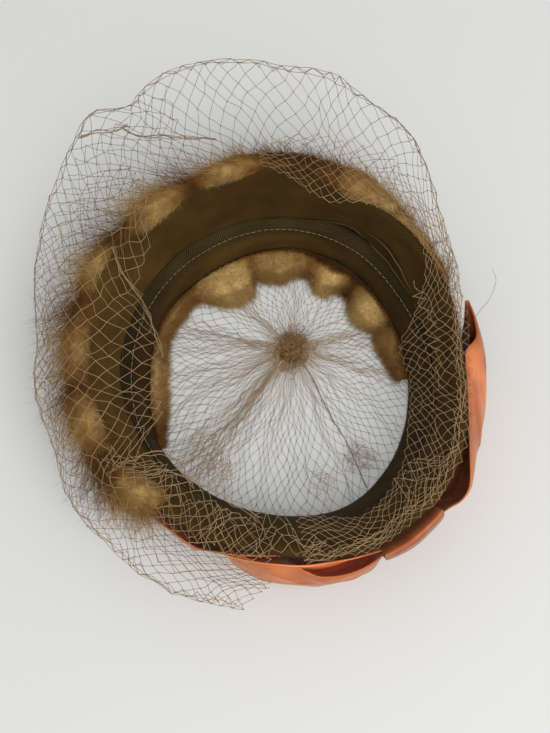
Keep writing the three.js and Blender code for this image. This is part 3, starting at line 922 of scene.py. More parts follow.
        def shade(azimuth: Array, share: Array) -> Array:
            """Returns the facing's painted light and shade, darker between its edge and pleat."""
            pleat = self.pleat_rows.read(turned(azimuth))["share"]
            # Painted shade between the facing's lower edge and its pleat.
            pleat_shadow = bump(turned(azimuth - 44), 24) * (share < pleat)
            tone = self.painted_light_rows.read(azimuth)["facing"] * (1 - 0.3 * pleat_shadow)
            return tone[..., None] * np.ones(3)

        surface = self.band(self.facing_rows, (360, 28), 0.7, push, shade, self.lift)
        made = surface.piece("facing_cloth", self.ring, TwillFinish().make(), Slot.FACING, "facing")
        self.hem(push)
        return made

    def hem(self, push: OnWall) -> bpy.types.Object:
        """Makes the rolled hem along the facing's lower edge and the edge of its pleat.

        Args:
            push: How far the facing stands inwards at places on the wall.

        Returns:
            The piece.
        """
        edge_share, edge_in, pleat_in = 0.552, -3.8, -3.45
        round_hat = np.linspace(-180, 180, 361)
        low = edge_share + self.lift(round_hat, edge_share + 0 * round_hat)
        edge = self.ring.at(round_hat, low + 0.004, edge_in - push(round_hat, low))
        along = np.linspace(25, 60, 361)
        share = self.pleat_rows.read(along)["share"] + 0.02
        pleat = self.ring.at(along, share, pleat_in - push(along, share))
        paths = np.stack([edge, pleat])
        middle = bump(turned(along - self.pleat_at), 20)
        # The threads are paler near azimuth 46 and at the pleat's middle: a painted highlight.
        beside = np.stack([bump(turned(round_hat - 46), 30), 1.1 * middle])
        dark, light = (0.055, 0.036, 0.010), (0.130, 0.090, 0.040)
        radius = np.stack([0.33 + 0 * along, 0.05 + 0.34 * middle])
        surface = Surface.threads(paths, radius, mixed(dark, light, np.clip(beside, 0, 1)), 4)
        finish = StrandFinish("hem_cloth", 0.8, 0.0, 0.08).make()
        return surface.piece("facing_hem", self.ring, finish, Slot.FACING)

    def inset(self, azimuth: Array, share: Array) -> Array:
        """Returns how far the sweatband stands in from the wall, below its tucked edge."""
        fall = np.clip((0.57 - share) / 0.09, 0, 1)
        return self.ring.table.read(azimuth)["inset"] * fall * fall * (3 - 2 * fall)

    def sweatband(self) -> bpy.types.Object:
        """Makes the ribbed band below the facing."""
        wave, radius = Ripple(8, 30), 85
        high_tone, low_tone = (0.9, 0.9, 0.9), (1.7, 1.42, 1.05)

        def push(azimuth: Array, share: Array) -> Array:
            """Returns how far the band stands in, with its slight waves."""
            azimuth, share = np.broadcast_arrays(azimuth, share)
            return self.inset(azimuth, share) + 0.35 * wave(self.unrolled(azimuth, share, radius))

        def shade(azimuth: Array, share: Array) -> Array:
            """Returns painted light round the band, lighter and browner below its stitches."""
            low = np.clip((0.44 - share) / 0.12, 0, 1)
            return self.painted_light_rows.read(azimuth)["band"][..., None] * mixed(high_tone, low_tone, low)

        surface = self.band(self.band_rows, (340, 13), 0.5, push, shade)
        finish = RibbedFinish().make()
        made = surface.piece("sweatband_ribbon", self.ring, finish, Slot.GROSGRAIN, "sweatband")
        return made

    def stitches(self) -> bpy.types.Object:
        """Makes the pale running stitch round the sweatband."""
        rng = np.random.default_rng(21)
        radius, thick, shade = 84, 0.155, (0.33, 0.26, 0.14)
        pitch = np.degrees((self.stitch + self.stitch_gap) / radius)
        start = np.arange(0, 360 - pitch / 2, pitch)
        half = np.degrees(self.stitch / radius) / 2
        along = np.linspace(-1, 1, 6)
        azimuth = start[:, None] + half * along * rng.uniform(0.85, 1.12, (len(start), 1))
        share = self.stitch_share + 0.004 * Ripple(3, 60)(np.stack([azimuth, 0 * azimuth], -1))
        share = share + rng.normal(0, 0.0016, (len(start), 1))
        share = share + rng.normal(0, 0.0015, (len(start), 1)) * along
        out = -1.95 - 0.3 * np.cos(along * 1.4)
        paths = self.ring.at(azimuth, share, out - self.inset(azimuth, share))
        colours = np.array(shade) * rng.uniform(0.75, 1.1, (len(start), 1, 1))
        surface = Surface.threads(paths, thick * np.sqrt(1.15 - along**2), colours, 6)
        finish = StrandFinish("stitch_thread").make()
        return surface.piece("sweatband_stitches", self.ring, finish, Slot.GROSGRAIN)

    def velvet(self) -> bpy.types.Object:
        """Makes the velvet wall, and the pile that stands up along its bare rim."""
        azimuth = np.linspace(0, 360, 241)[None, :-1]
        share = np.linspace(0.0, 1.0, 12)[:, None]
        puff = 0.25 * Ripple(9, 14)(self.ring.at(azimuth, share, 0.0))
        outside = self.ring.at(azimuth, share, self.ring.wall_thick + puff)
        surface = Surface.cloth(outside, self.ring.at(azimuth, share, 0.1), None, None, True)
        finish = VelvetFinish().make()
        made = surface.piece("velvet_cloth", self.ring, finish, Slot.VELVET, "velvet_wall")
        self.pile()
        return made

    def pile(self, count: int = 4500) -> bpy.types.Object:
        """Makes the velvet's pile, as short hairs along the rim where no fur covers it.

        Args:
            count: How many hairs.

        Returns:
            The piece.
        """
        rng = np.random.default_rng(31)
        bare, near_rim = (-128, 27), (0.86, 1.03)
        azimuth = rng.uniform(*bare, count)
        share = rng.uniform(*near_rim, count)
        roots = self.ring.at(azimuth, np.minimum(share, 1.0), 2.4 + 1.5 * (share > 1))
        out = self.ring.about(azimuth, np.ones(count), 0 * azimuth)
        way = unit(out + [0, 0, 0.8] + rng.normal(0, 0.45, (count, 3)))
        length = rng.uniform(1.4, 3.4, count)[:, None, None]
        steps = np.linspace(0, 1, 3)[None, :, None]
        bend = rng.normal(0, 0.3, (count, 1, 3)) * steps**2
        paths = roots[:, None] + way[:, None] * steps * length + bend
        tone = rng.uniform(0.3, 1.6, (count, 1, 1))
        colours = np.array(VelvetFinish.light) * tone * np.ones((1, 3, 1))
        width = rng.uniform(0.18, 0.36, (count, 1))
        surface = Surface.blades(paths, width, colours, out + rng.normal(0, 0.5, out.shape))
        finish = StrandFinish("pile_hair", 0.9, 0.2, 0.1).make()
        return surface.piece("velvet_pile", self.ring, finish, Slot.VELVET)


# ---- fur ----


# Past this stop the pelt lies in the crown hole.
HOLE_STOP = 10.8


@dataclass(frozen=True)
class Coat:
    """One kind of hair. Lengths are millimetres.

    Attributes:
        count: Hairs in a strip.
        first: The stop of the pelt where it starts.
        last: The stop where it ends.
        length: Its least and greatest length.
        width: The least and greatest width of a hair.
        steps: Points along a hair.
        stand: How far it stands off the skin.
        swept: How far it lies round the hat.
        fall: How far it hangs.
        untidy: How much the hairs' ways differ.
        curl: How much a hair bends.
        dark: How much darker its tip is.
        thinned: How little of it is missing where the pelt is bare.
        inward: How far it leans towards the hat's axis.
    """

    count: int
    first: float
    last: float
    length: tuple[float, float]
    width: tuple[float, float]
    steps: int
    stand: float
    swept: float
    fall: float
    untidy: float
    curl: float
    dark: float = 0.0
    thinned: float = 0.0
    inward: float = 0.0


@dataclass
class Fur:
    """The fur round the ring's outside and under its crown edge, in strips between seams.

    The pelt's section runs by numbered stops from its edge over the rim (0), down the wall (5 to 9)
    and under the crown edge (10) to the lips in the crown hole (11 to 15). Lengths are millimetres.
    """

    ring: Ring
    strips: int = 9
    first_seam: float = 25.5
    last_seam: float = 233.0
    tones: Table = Table(("pale", "red", "green", "blue"), (
        (-0.4, 0.030, 0.012, 0.004), (0.0, 0.085, 0.035, 0.009), (0.35, 0.20, 0.090, 0.022),
        (0.7, 0.315, 0.176, 0.055), (1.0, 0.42, 0.265, 0.092), (1.3, 0.6, 0.42, 0.16)))
    # Round the rim: how far the pelt comes in over it, stands off the wall and rises; how pale its
    # hair is; how much of it is missing; and its length beside the usual.
    rim_rows: Table = Table(("azimuth", "over", "bulk", "top", "pale", "bare", "long"), (
        (20, -3, 1.5, 0.5, 0.4, 0.2, 0.45), (27, -3.5, 2, 0.8, 0.5, 0, 0.45),
        (36, -4, 2.5, 1.0, 0.7, 0, 0.45), (46, -3.5, 4, 2, 0.85, 0, 0.5),
        (57, -1.5, 9, 4, 0.95, 0, 0.45), (66, 2, 12, 4.5, 0.75, 0, 0.45),
        (73, 1, 10, 2.5, 0.22, 0, 0.45), (84, -1, 10, 2, 0.02, 0, 0.48),
        (93, -1, 9, 2, 0.1, 0.1, 0.52), (98, 0.5, 9, 3, 0.55, 0, 0.58),
        (104, 1.5, 9, 4.5, 0.92, 0, 0.68), (110, 0.5, 7, 3, 0.7, 0.2, 0.95),
        (115, -1.5, 4, 1.2, 0.15, 0.6, 1.15), (119, 0.5, 5, 2.5, 0.55, 0.3, 1.1),
        (127, 3, 9, 5, 0.95, 0, 1.0), (134, 2.5, 8, 4, 0.75, 0.2, 1.05),
        (139, -1, 4, 1.5, 0.15, 0.6, 1.2), (144, -2, 6, 2, 0.4, 0.4, 1.0),
        (151, -1.5, 9, 4.5, 0.92, 0, 0.9), (157, -1, 8, 3.5, 0.7, 0.1, 1),
        (162, -1.5, 5, 1.8, 0.2, 0.6, 1.2), (168, 0, 7, 2.5, 0.5, 0.4, 1.1),
        (176, 1, 10, 4.5, 0.9, 0, 1), (183, 0.5, 8, 3, 0.55, 0.2, 1),
        (188, -1, 7, 2, 0.15, 0.3, 1.1), (194, 1.5, 9, 4, 0.75, 0, 0.9),
        (200, 2.5, 10, 5, 0.98, 0, 0.8), (206, 1, 8, 3, 0.5, 0, 1), (212, 0, 8, 2, 0.05, 0, 1.1),
        (217, 2, 10, 4, 0.4, 0, 1.1), (223, 4.5, 12, 6, 0.9, 0, 0.9),
        (230, 5, 9, 5.5, 0.88, 0, 0.8), (235, 2, 5, 2, 0.4, 0.3, 0.8)))
    # Round the crown hole: how far the lip reaches in, how thick and how pale it is.
    lip_rows: Table = Table(("azimuth", "reach", "thick", "pale"), (
        (-8, 1, 1.5, 0.3), (4, 7.5, 2.5, 0.35), (13, 12, 3, 0.4), (22, 15.8, 3.5, 0.5),
        (28, 13.6, 3, 0.35), (33, 18.5, 4.5, 0.85), (42, 22.5, 5.5, 1.05), (49, 20, 4, 0.55),
        (54, 16.5, 2.5, -0.05), (60, 19, 4, 0.65), (65, 24.5, 5.5, 1.1), (70, 23.5, 5, 0.85),
        (76, 18.5, 3, 0.3), (81, 17.7, 3.5, 0.6), (90, 23, 5, 0.75), (100, 21, 4.5, 0.65),
        (104, 19.3, 3.5, 0.35), (108, 27, 5.5, 0.8), (117, 28, 6.5, 0.95), (128, 23, 6, 0.8),
        (134, 14, 3.5, 0.4), (140, 12, 3, 0.5), (149, 12, 3.5, 0.55), (160, 10.5, 3, 0.45),
        (168, 12, 3.5, 0.6), (178, 13.2, 4, 0.85), (190, 12, 4, 0.65), (200, 8.8, 3, 0.35),
        (208, 3.5, 2, 0.2)))
    # Down the wall: a stop's share of its height, the skin's distance off it and part of the bulk.
    wall_stops: tuple[tuple[float, float, float], ...] = (
        (0.93, 3.4, 1), (0.8, 3.3, 0.95), (0.55, 3.3, 0.6), (0.25, 3.3, 0.45), (0.06, 4.0, 0.3))
    # How far in from the sweatband the lips are darkened by painted shade, in stops.
    lip_shadow_rows: Table = Table(("azimuth", "dark"), (
        (-10, 0.25), (30, 0.3), (48, 0.5), (58, 0.8), (72, 0.75), (82, 0.4), (95, 0.3), (140, 0.1),
        (210, 0.1)))
    coats: tuple[Coat, ...] = (
        Coat(6000, 0.0, 5.4, (2.2, 4.6), (0.15, 0.25), 3, 0.34, 0.75, 0.0, 0.24, 0.22),
        Coat(1900, 4.6, 10.2, (7, 13), (0.22, 0.34), 4, 0.42, 0.5, 0.55, 0.18, 0.4, 0.1),
        Coat(3600, 11.8, 15.0, (1.4, 3.4), (0.13, 0.22), 3, 0.45, 0.3, 0.0, 0.4, 0.5, inward=0.35),
        Coat(1200, 2.8, 6.8, (8, 14), (0.12, 0.18), 4, 0.55, 0.9, 0.05, 0.2, 0.4, 0.15, 0.3),
        Coat(880, 2.6, 8.2, (15, 27), (0.15, 0.2), 6, 0.42, 0.75, 0.1, 0.3, 0.4, 0.22, 0.75, -0.4),
        Coat(2300, 11.7, 13.5, (3, 8), (0.12, 0.18), 3, 0.12, 0.25, 0, 0.42, 0.5, 0.25, inward=1.0),
    )

    def stops(self, azimuth: Array) -> tuple[Array, Array]:
        """Finds the pelt's section.

        Args:
            azimuth: Where its strips would be at the rim.

        Returns:
            Radius and height at each of the 16 stops, and each stop's own azimuth.
        """
        row, rim = self.rim_rows.read(azimuth), self.ring.table.read(azimuth)
        over, bulk, top = row["over"], row["bulk"], row["top"]
        edge, height = rim["rim"], rim["rim_z"]
        foot = self.ring.leaned(azimuth, 0.0)
        lip, low = self.lip_rows.read(foot), self.ring.table.read(foot)
        crown, reach, thick = low["crown"], np.maximum(lip["reach"], 1.0), lip["thick"]
        found, around = [], []

        def add(radius: Array, z: Array | float, share: float) -> None:
            """Adds a stop at a radius and height."""
            found.append(np.stack(np.broadcast_arrays(radius, z), -1))
            around.append(self.ring.leaned(azimuth, share))

        def wall(share: float, out: Array) -> None:
            """Adds a stop off the wall."""
            at = self.ring.at(self.ring.leaned(azimuth, share), share, out)
            add(np.hypot(at[..., 0], at[..., 1]), at[..., 2], share)

        add(edge - over - 0.6, height + 0.2 + 0.1 * top, 1)
        add(edge - over * 0.95, height + 1.8 + top * 0.5, 1)
        back = np.maximum(-over, 0)
        add(edge - over * 0.4 + 1.2 + back * 0.7, height + 2.1 + top * 0.95, 1)
        add(edge + 3 + bulk * 0.3 + back * 0.5, height + 2.1 + top, 1)
        add(edge + 3 + bulk * 0.75, height + 1.0 + top * 0.45, 1)
        for share, off, part in self.wall_stops:
            wall(share, off + bulk * part)
        add(crown + 3.5, 1.7, 0)
        add(crown - reach * 0.5, 1.3, 0)
        add(crown - reach, 1.4 + thick * 0.2, 0)
        add(crown - reach * 0.95, 1.4 + thick * 0.7, 0)
        add(crown - reach * 0.66, 1.6 + thick, 0)
        behind = np.minimum(crown - low["inset"] - 2.3, crown - reach * 0.2)
        add(behind, low["crown_z"] + 0.25 * thick, 0)
        return np.stack(found, -2), np.stack(around, -1)

    def pelt(self, azimuth: Array, place: Array) -> tuple[Array, Array]:
        """Finds the skin that the hair grows from.

        Args:
            azimuth: Where the hair would be at the rim.
            place: Numbered stops along the section, whole or between.

        Returns:
            Points on the skin, and the ways that it looks.
        """
        section, around = self.stops(azimuth)
        last = section.shape[-2] - 1
        index = np.clip(np.floor(place).astype(int), 0, last - 1)
        t = place - index

        def stop(shift: int) -> tuple[Array, Array]:
            """Returns the stop so many after the one before each place."""
            at = np.clip(index + shift, 0, last)[..., None]
            point = np.take_along_axis(section, at[..., None], -2)[..., 0, :]
            return point, np.take_along_axis(around, at, -1)[..., 0]

        (a, _), (b, b_turn), (c, c_turn), (d, _) = (stop(shift) for shift in (-1, 0, 1, 2))
        t2 = t[..., None]
        square, cube = 2 * a - 5 * b + 4 * c - d, 3 * b - a - 3 * c + d
        at = 0.5 * (2 * b + (c - a) * t2 + square * t2**2 + cube * t2**3)
        way = unit(0.5 * ((c - a) + 2 * square * t2 + 3 * cube * t2**2))
        turn = b_turn + (c_turn - b_turn) * t
        point = self.ring.about(turn, at[..., 0], np.maximum(at[..., 1], 1.0))
        return point, unit(self.ring.about(turn, -way[..., 1], way[..., 0]))

    def pale(self, azimuth: Array, place: Array) -> Array:
        """Finds how pale the hair is, with painted shade and a painted highlight on the lips.

        Args:
            azimuth: Where it would be at the rim.
            place: Numbered stops along the section.

        Returns:
            0 for the usual brown, up to 1 for the palest.
        """
        rim = self.rim_rows.read(azimuth)["pale"]
        lip = self.lip_rows.read(self.ring.leaned(azimuth, 0.0))["pale"]
        point, _ = self.pelt(azimuth, place)
        on_wall = place < HOLE_STOP
        cloudy = 0.16 * Ripple(73, 9)(point) + 0.08 * Ripple(74, 3.5)(point)
        cloudy = cloudy * np.where(on_wall, 1.0, 0.5)
        usual = 0.16
        wall = usual + 0.5 * (rim - usual) * bump(place - 5, 3.0)
        share = np.clip((place - 4.2) / 1.6, 0, 1)
        upper = rim * (1 - share) + wall * share
        # Painted shade darkens the lips near the sweatband.
        dark = self.lip_shadow_rows.read(self.ring.leaned(azimuth, 0.0))["dark"]
        lip_shadow = np.clip((place - 15 + dark) / 0.3, 0, 1)
        # A painted highlight along the lips' top ridge.
        ridge_highlight = 0.28 * bump(place - 13.4, 1.5) - 0.06
        lower = (1.2 * lip + ridge_highlight) * (1 - lip_shadow) - 0.1 * lip_shadow
        return np.where(on_wall, upper, lower) + cloudy

    def colour(self, pale: Array) -> Array:
        """Returns the colours for how pale hair is."""
        read = self.tones.read(pale)
        return np.stack([read["red"], read["green"], read["blue"]], -1)

    @staticmethod
    def grown(
        roots: Array, way: Array, length: Array, coat: Coat, rng: np.random.Generator
    ) -> Array:
        """Grows hairs from roots.

        Args:
            roots: Hairs by 3.
            way: Hairs by 3, the way that each sets out.
            length: Each hair's length.
            coat: The kind of hair.
            rng: Where chance comes from.

        Returns:
            Hairs by points by 3.
        """
        lowest, low_top, pressed = 0.5, 70, 0.65
        fields = [Ripple(60 + i, 8.0, 10) for i in range(3)]
        own = rng.normal(0, 0.2, roots.shape)
        paths, at, heading = [roots], roots, way
        for _ in range(1, coat.steps):
            swirl = np.stack([f(at) for f in fields], -1)
            heading = unit(heading + coat.curl * (0.5 * swirl + own) - [0, 0, 0.3 * coat.fall])
            at = at + heading * (length / (coat.steps - 1))[:, None]
            at[:, 2] = np.maximum(at[:, 2], lowest)
            paths.append(at)
        grown = np.stack(paths, 1)
        grown[..., 2] -= pressed * np.maximum(grown[..., 2] - low_top, 0)
        return grown

    def hair(self, coat: Coat, first: float, last: float, rng: np.random.Generator) -> Surface:
        """Grows one kind of hair.

        Args:
            coat: The kind.
            first: The azimuth where the strip starts.
            last: The azimuth where it ends.
            rng: Where chance comes from.

        Returns:
            The hairs as one surface.
        """
        ring = self.ring
        azimuth = rng.uniform(first - 0.4, last + 0.4, coat.count)
        place = rng.uniform(coat.first, coat.last, coat.count)
        first_bare, last_bare = 2.5, 7
        bare = self.rim_rows.read(azimuth)["bare"] * (place > first_bare) * (place < last_bare)
        kept = rng.random(coat.count) > bare * (0.75 - coat.thinned)
        azimuth, place = azimuth[kept], place[kept]
        roots, looks = self.pelt(azimuth, place)
        long = np.where(place < HOLE_STOP, self.rim_rows.read(azimuth)["long"], 1.0)
        beside = ring.leaned(azimuth, np.clip(1.45 - place / 10, 0, 1)) + 90
        side, inside = ring.about(beside, 1.0, 0.0), -ring.about(azimuth, 1.0, 0.0)
        way = looks * coat.stand * rng.uniform(0.5, 1.5, (len(azimuth), 1)) + side * coat.swept
        way = way + inside * coat.inward - np.array([0, 0, coat.fall])
        way = way + rng.normal(0, coat.untidy, roots.shape)
        way = way - looks * np.minimum((way * looks).sum(-1, keepdims=True), 0)
        length = long * rng.uniform(*coat.length, len(azimuth))
        paths = self.grown(roots, unit(way), length, coat, rng)
        pale = self.pale(azimuth, place)
        tone = np.exp(rng.normal(0, 0.13, (len(azimuth), 1, 1)))
        share = np.linspace(0, 1, coat.steps)[None, :, None]
        ends = np.clip(pale + 0.1, -0.3, 1.3) * (1 - coat.dark) - 0.3 * coat.dark
        root, tip = self.colour(pale - 0.08), self.colour(ends)
        colours = (root[:, None] * (1 - share) + tip[:, None] * share) * tone
        width = rng.uniform(*coat.width, (len(azimuth), 1))
        facing = looks + rng.normal(0, 0.4, looks.shape)
        return Surface.blades(paths, width, colours, facing)

    def skin(self, first: float, last: float) -> Surface:
        """Makes the skin and underfur below the hair.

        Args:
            first: The azimuth where the strip starts.
            last: The azimuth where it ends.

        Returns:
            The skin, in triangles.
        """
        runs = ((0, 6, 26), (6.5, 11, 8), (11.4, 15, 18))
        place = np.concatenate([np.linspace(*run) for run in runs])
        place, azimuth = np.meshgrid(place, np.linspace(first, last, 34), indexing="ij")
        point, looks = self.pelt(azimuth, place)
        lumps = 0.55 * Ripple(71, 6.5)(point) + 0.28 * Ripple(72, 2.8)(point)
        lumps = lumps * np.where(place < HOLE_STOP, 1.0, 0.55)
        ends = np.clip(np.minimum(place, 15 - place) * 2, 0, 1)
        point = point + looks * (lumps * ends)[..., None]
        point[..., 2] = np.maximum(point[..., 2], 0.9)
        quads = Surface.grid(point)
        faces = np.concatenate([quads.faces[:, [0, 1, 2]], quads.faces[:, [0, 2, 3]]])
        colours = self.colour(self.pale(azimuth, place) - 0.06).reshape(-1, 3)
        return Surface(quads.points, faces, None, colours)

    def build(self) -> list[bpy.types.Object]:
        """Makes every strip and returns the pieces."""
        finish = StrandFinish("fur_hair", 0.75, 0.06, 0.05).make()
        width = (self.last_seam - self.first_seam) / self.strips
        made = []
        for index in range(self.strips):
            rng = np.random.default_rng(400 + index)
            first, last = (self.first_seam + n * width for n in (index, index + 1))
            hairs = (self.hair(coat, first, last, rng) for coat in self.coats)
            parts = [self.skin(first, last), *hairs]
            name, node = f"fur_strip_{index + 1}", f"fur_tuft_{index + 1}"
            made.append(Surface.joined(parts).piece(name, self.ring, finish, Slot.FUR, node))
        return made


# ---- satin ----


@dataclass(frozen=True)
class Crease:
    """A soft ridge or valley in a ribbon: where it starts and ends, its width and its height."""

    start: tuple[float, float]
    end: tuple[float, float]
    width: float
    height: float

    def lift(self, along: Array, across: Array, shape: tuple[float, float]) -> Array:
        """Returns its height at places on a ribbon.

        Args:
            along: Share of the ribbon's length.
            across: Share of its width.
            shape: The ribbon's length and width in millimetres.

        Returns:
            Its height at each place.
        """
        size = np.array(shape)
        a, b = np.array(self.start) * size, np.array(self.end) * size
        at = np.stack(np.broadcast_arrays(along * size[0], across * size[1]), -1)
        share = np.clip(((at - a) @ (b - a)) / max((b - a) @ (b - a), 1e-6), 0, 1)
        gap = np.linalg.norm(at - (a + share[..., None] * (b - a)), axis=-1)
        fade = np.clip(np.minimum(share, 1 - share) * 5 + 0.25, 0, 1)
        return self.height * bump(gap, self.width) * fade


RIBBON_COLUMNS = ("place", "azimuth", "top", "middle", "foot", "high", "tone")


@dataclass(frozen=True)
class Ribbon:
    """A satin ribbon's way by the wall, with its width up the wall. Lengths are millimetres.

    Its rows give the azimuth, how far its upper edge, middle and lower edge stand off the wall, the
    share of the wall's height that its upper edge reaches, and its painted light and shade.
    ``low`` is the share that its lower edge reaches, and ``inside`` how much more painted light
    the face in its hollow has.
    """

    name: str
    replaces: str
    rows: Table
    low: float
    length: float
    steps: int
    creases: tuple[Crease, ...] = ()
    thick: float = 0.8
    seed: int = 1
    waves: float = 0.4
    inside: float = 1.0


@dataclass
class SatinBow:
    """The sash, the bow's two loops and the knot over their roots."""

    ring: Ring
    width: float = 46.0
    knot: tuple[float, float] = (-60.5, -42.0)
    knot_section: Table = Table(("place", "out", "share"), (
        (0, 8.2, 0.5), (0.1, 8.2, 0.75), (0.17, 8.9, 0.93), (0.21, 10.2, 0.985),
        (0.26, 12.2, 0.955), (0.33, 15.6, 0.87), (0.42, 18.4, 0.74), (0.5, 19.4, 0.58),
        (0.6, 18.6, 0.4), (0.7, 16, 0.2), (0.78, 12.5, 0.07), (0.83, 9.4, 0.055), (0.88, 8.2, 0.12),
        (1, 8.2, 0.5)))
    sash: Ribbon = Ribbon("satin_band", "satin_sash", Table(RIBBON_COLUMNS, (
        (0.0, -124.5, 11.5, 13, 9, 0.88, 0.8), (0.05, -117, 12.5, 15.5, 10, 0.88, 0.9),
        (0.1, -110, 14.5, 18.5, 12.5, 0.86, 0.85), (0.13, -106, 13.5, 17.5, 12, 0.86, 0.7),
        (0.18, -100, 11.5, 14.5, 10.5, 0.88, 1.1), (0.23, -94, 9.4, 11, 9.4, 0.88, 1.0),
        (0.3, -86, 7.6, 8, 7.6, 0.87, 0.8), (0.4, -72, 6.8, 7, 6.8, 0.84, 0.8),
        (0.66, -36, 7, 7, 6.8, 0.82, 0.7), (0.85, -4, 7, 7.2, 7, 0.78, 0.6),
        (1.0, 16, 7.2, 7.3, 7.1, 0.78, 0.6))), 0.1, 265, 190, (
        Crease((0.0, 0.86), (0.11, 0.8), 2.2, 1.3), Crease((0.0, 0.62), (0.12, 0.66), 2.6, 1.1),
        Crease((0.01, 0.74), (0.11, 0.73), 1.8, -1.1), Crease((0.1, 0.95), (0.13, 0.5), 2.6, 1.2),
        Crease((0.13, 0.85), (0.22, 0.9), 2.0, 0.9),
        Crease((0.13, 0.7), (0.24, 0.72), 2.4, -0.8)), seed=11)
    left: Ribbon = Ribbon("bow_fold_left", "bow_loop_left", Table(RIBBON_COLUMNS, (
        (0.0, -57, 9.6, 10, 10, 0.9, 0.5), (0.08, -64.5, 7.6, 9.0, 9.5, 0.93, 0.7),
        (0.13, -68, 7.2, 14, 13, 0.94, 1.2), (0.2, -74, 7.4, 19, 17, 0.94, 1.7),
        (0.3, -82, 9.2, 20, 18, 0.94, 1.6), (0.38, -90, 10.0, 15, 16, 0.93, 0.9),
        (0.44, -98, 10.6, 16, 13.5, 0.92, 0.9), (0.49, -102, 11.2, 17.5, 14.5, 0.9, 1.0),
        (0.54, -98.5, 10.8, 23.5, 19.5, 0.9, 1.05), (0.62, -91, 10.8, 29.6, 25, 0.92, 1.05),
        (0.7, -84, 10.8, 30.6, 27.2, 0.93, 1.0), (0.74, -81, 13.2, 30.6, 27.4, 0.93, 1.0),
        (0.78, -78, 16.0, 30, 27, 0.92, 0.95), (0.84, -72.5, 16.6, 28.6, 26, 0.91, 0.95),
        (0.9, -67, 15.2, 26.6, 25, 0.91, 0.9), (0.95, -62.5, 13.0, 22.5, 20, 0.91, 0.8),
        (1.0, -58, 11.4, 14.5, 15, 0.87, 0.6))), 0.12, 170, 170, (
        Crease((0.56, 0.98), (0.74, 0.72), 2.6, 1.3), Crease((0.58, 0.82), (0.72, 0.6), 2.8, -0.9),
        Crease((0.97, 0.72), (0.76, 0.9), 2.2, 0.9), Crease((0.97, 0.5), (0.72, 0.42), 4, 1.2),
        Crease((0.52, 0.7), (0.62, 0.5), 4, 1.0)), seed=12, inside=1.85)
    right: Ribbon = Ribbon("bow_fold_right", "bow_loop_right", Table(RIBBON_COLUMNS, (
        (0.0, -45, 9.6, 10, 10, 0.84, 0.5), (0.08, -33, 8.8, 9.2, 9.2, 0.82, 0.45),
        (0.18, -15, 8.6, 8.9, 8.9, 0.8, 0.5), (0.28, 5, 8.6, 9.2, 8.9, 0.9, 0.2),
        (0.34, 12, 9.6, 9.8, 9.4, 0.95, 0.14), (0.39, 17, 10.6, 11.5, 11, 0.96, 0.2),
        (0.43, 19.5, 12.2, 16.5, 14.5, 0.94, 0.7), (0.47, 18, 12.8, 20.0, 16.5, 0.93, 0.8),
        (0.51, 13, 12.8, 21.4, 17.2, 0.94, 0.75), (0.56, 7.5, 11.2, 21.8, 17.2, 0.97, 0.85),
        (0.6, 3.4, 5.2, 22.2, 17, 1.0, 1.2), (0.63, -0.5, 3.6, 22.1, 16.9, 1.015, 1.4),
        (0.68, -7, 3.3, 21.8, 16.6, 1.015, 1.3), (0.74, -14, 3.4, 21.2, 16.2, 1.01, 0.9),
        (0.8, -21.5, 5.2, 20.8, 16, 1.0, 0.85), (0.85, -28, 10.0, 22.2, 16.6, 0.97, 1.1),
        (0.89, -33, 15.2, 23.6, 17.4, 0.94, 1.15), (0.93, -37, 15.6, 21.8, 16.6, 0.93, 0.9),
        (0.965, -40.5, 13, 17, 14, 0.92, 0.75),
        (1.0, -44.5, 12.4, 13, 13, 0.86, 0.6))), 0.12, 250, 220, (
        Crease((0.57, 0.95), (0.7, 0.72), 3.5, 0.7), Crease((0.7, 0.95), (0.8, 0.6), 3.0, -0.9),
        Crease((0.8, 0.98), (0.9, 0.86), 2.0, 1.0), Crease((0.99, 0.6), (0.84, 0.4), 4, 1.2),
        Crease((0.64, 0.5), (0.8, 0.42), 5, 0.9)), seed=13)

    def cloth(self, spec: Ribbon) -> bpy.types.Object:
        """Makes one ribbon as closed cloth.

        Args:
            spec: The ribbon.

        Returns:
            The piece.
        """
        along, across = np.meshgrid(np.linspace(0, 1, spec.steps), np.linspace(0, 1, 22))
        row = spec.rows.read(along)
        share = spec.low + (row["high"] - spec.low) * across
        bulge = row["middle"] - (row["foot"] + row["top"]) / 2
        out = row["foot"] + (row["top"] - row["foot"]) * across + bulge * 4 * across * (1 - across)
        face = self.ring.at(self.ring.leaned(row["azimuth"], share), share, out)
        broad, fine = Ripple(spec.seed, 26), Ripple(spec.seed + 40, 9)
        at = np.stack([along * spec.length * 0.3, across * self.width, 0 * along], -1)
        lift = spec.waves * broad(at) + 0.35 * spec.waves * fine(at)
        for crease in spec.creases:
            lift = lift + crease.lift(along, across, (spec.length, self.width))
        free = np.clip((out - 8.2) / 4, 0.12, 1)
        face = face - normals(face) * (lift * free)[..., None]
        uv = np.stack([along * spec.length, across * self.width], -1)
        # Painted light and shade: the tone column, and more light on the hollow's face.
        tone = np.repeat(row["tone"][..., None], 3, -1)
        shades = tone, np.minimum(tone * spec.inside, 1.9)
        surface = Surface.cloth(face, face + normals(face) * spec.thick, uv, shades)
        finish = SatinFinish(f"satin_{spec.replaces}").make()
        made = surface.piece(spec.name, self.ring, finish, Slot.SATIN, spec.replaces)
        self.width * MM
        return made

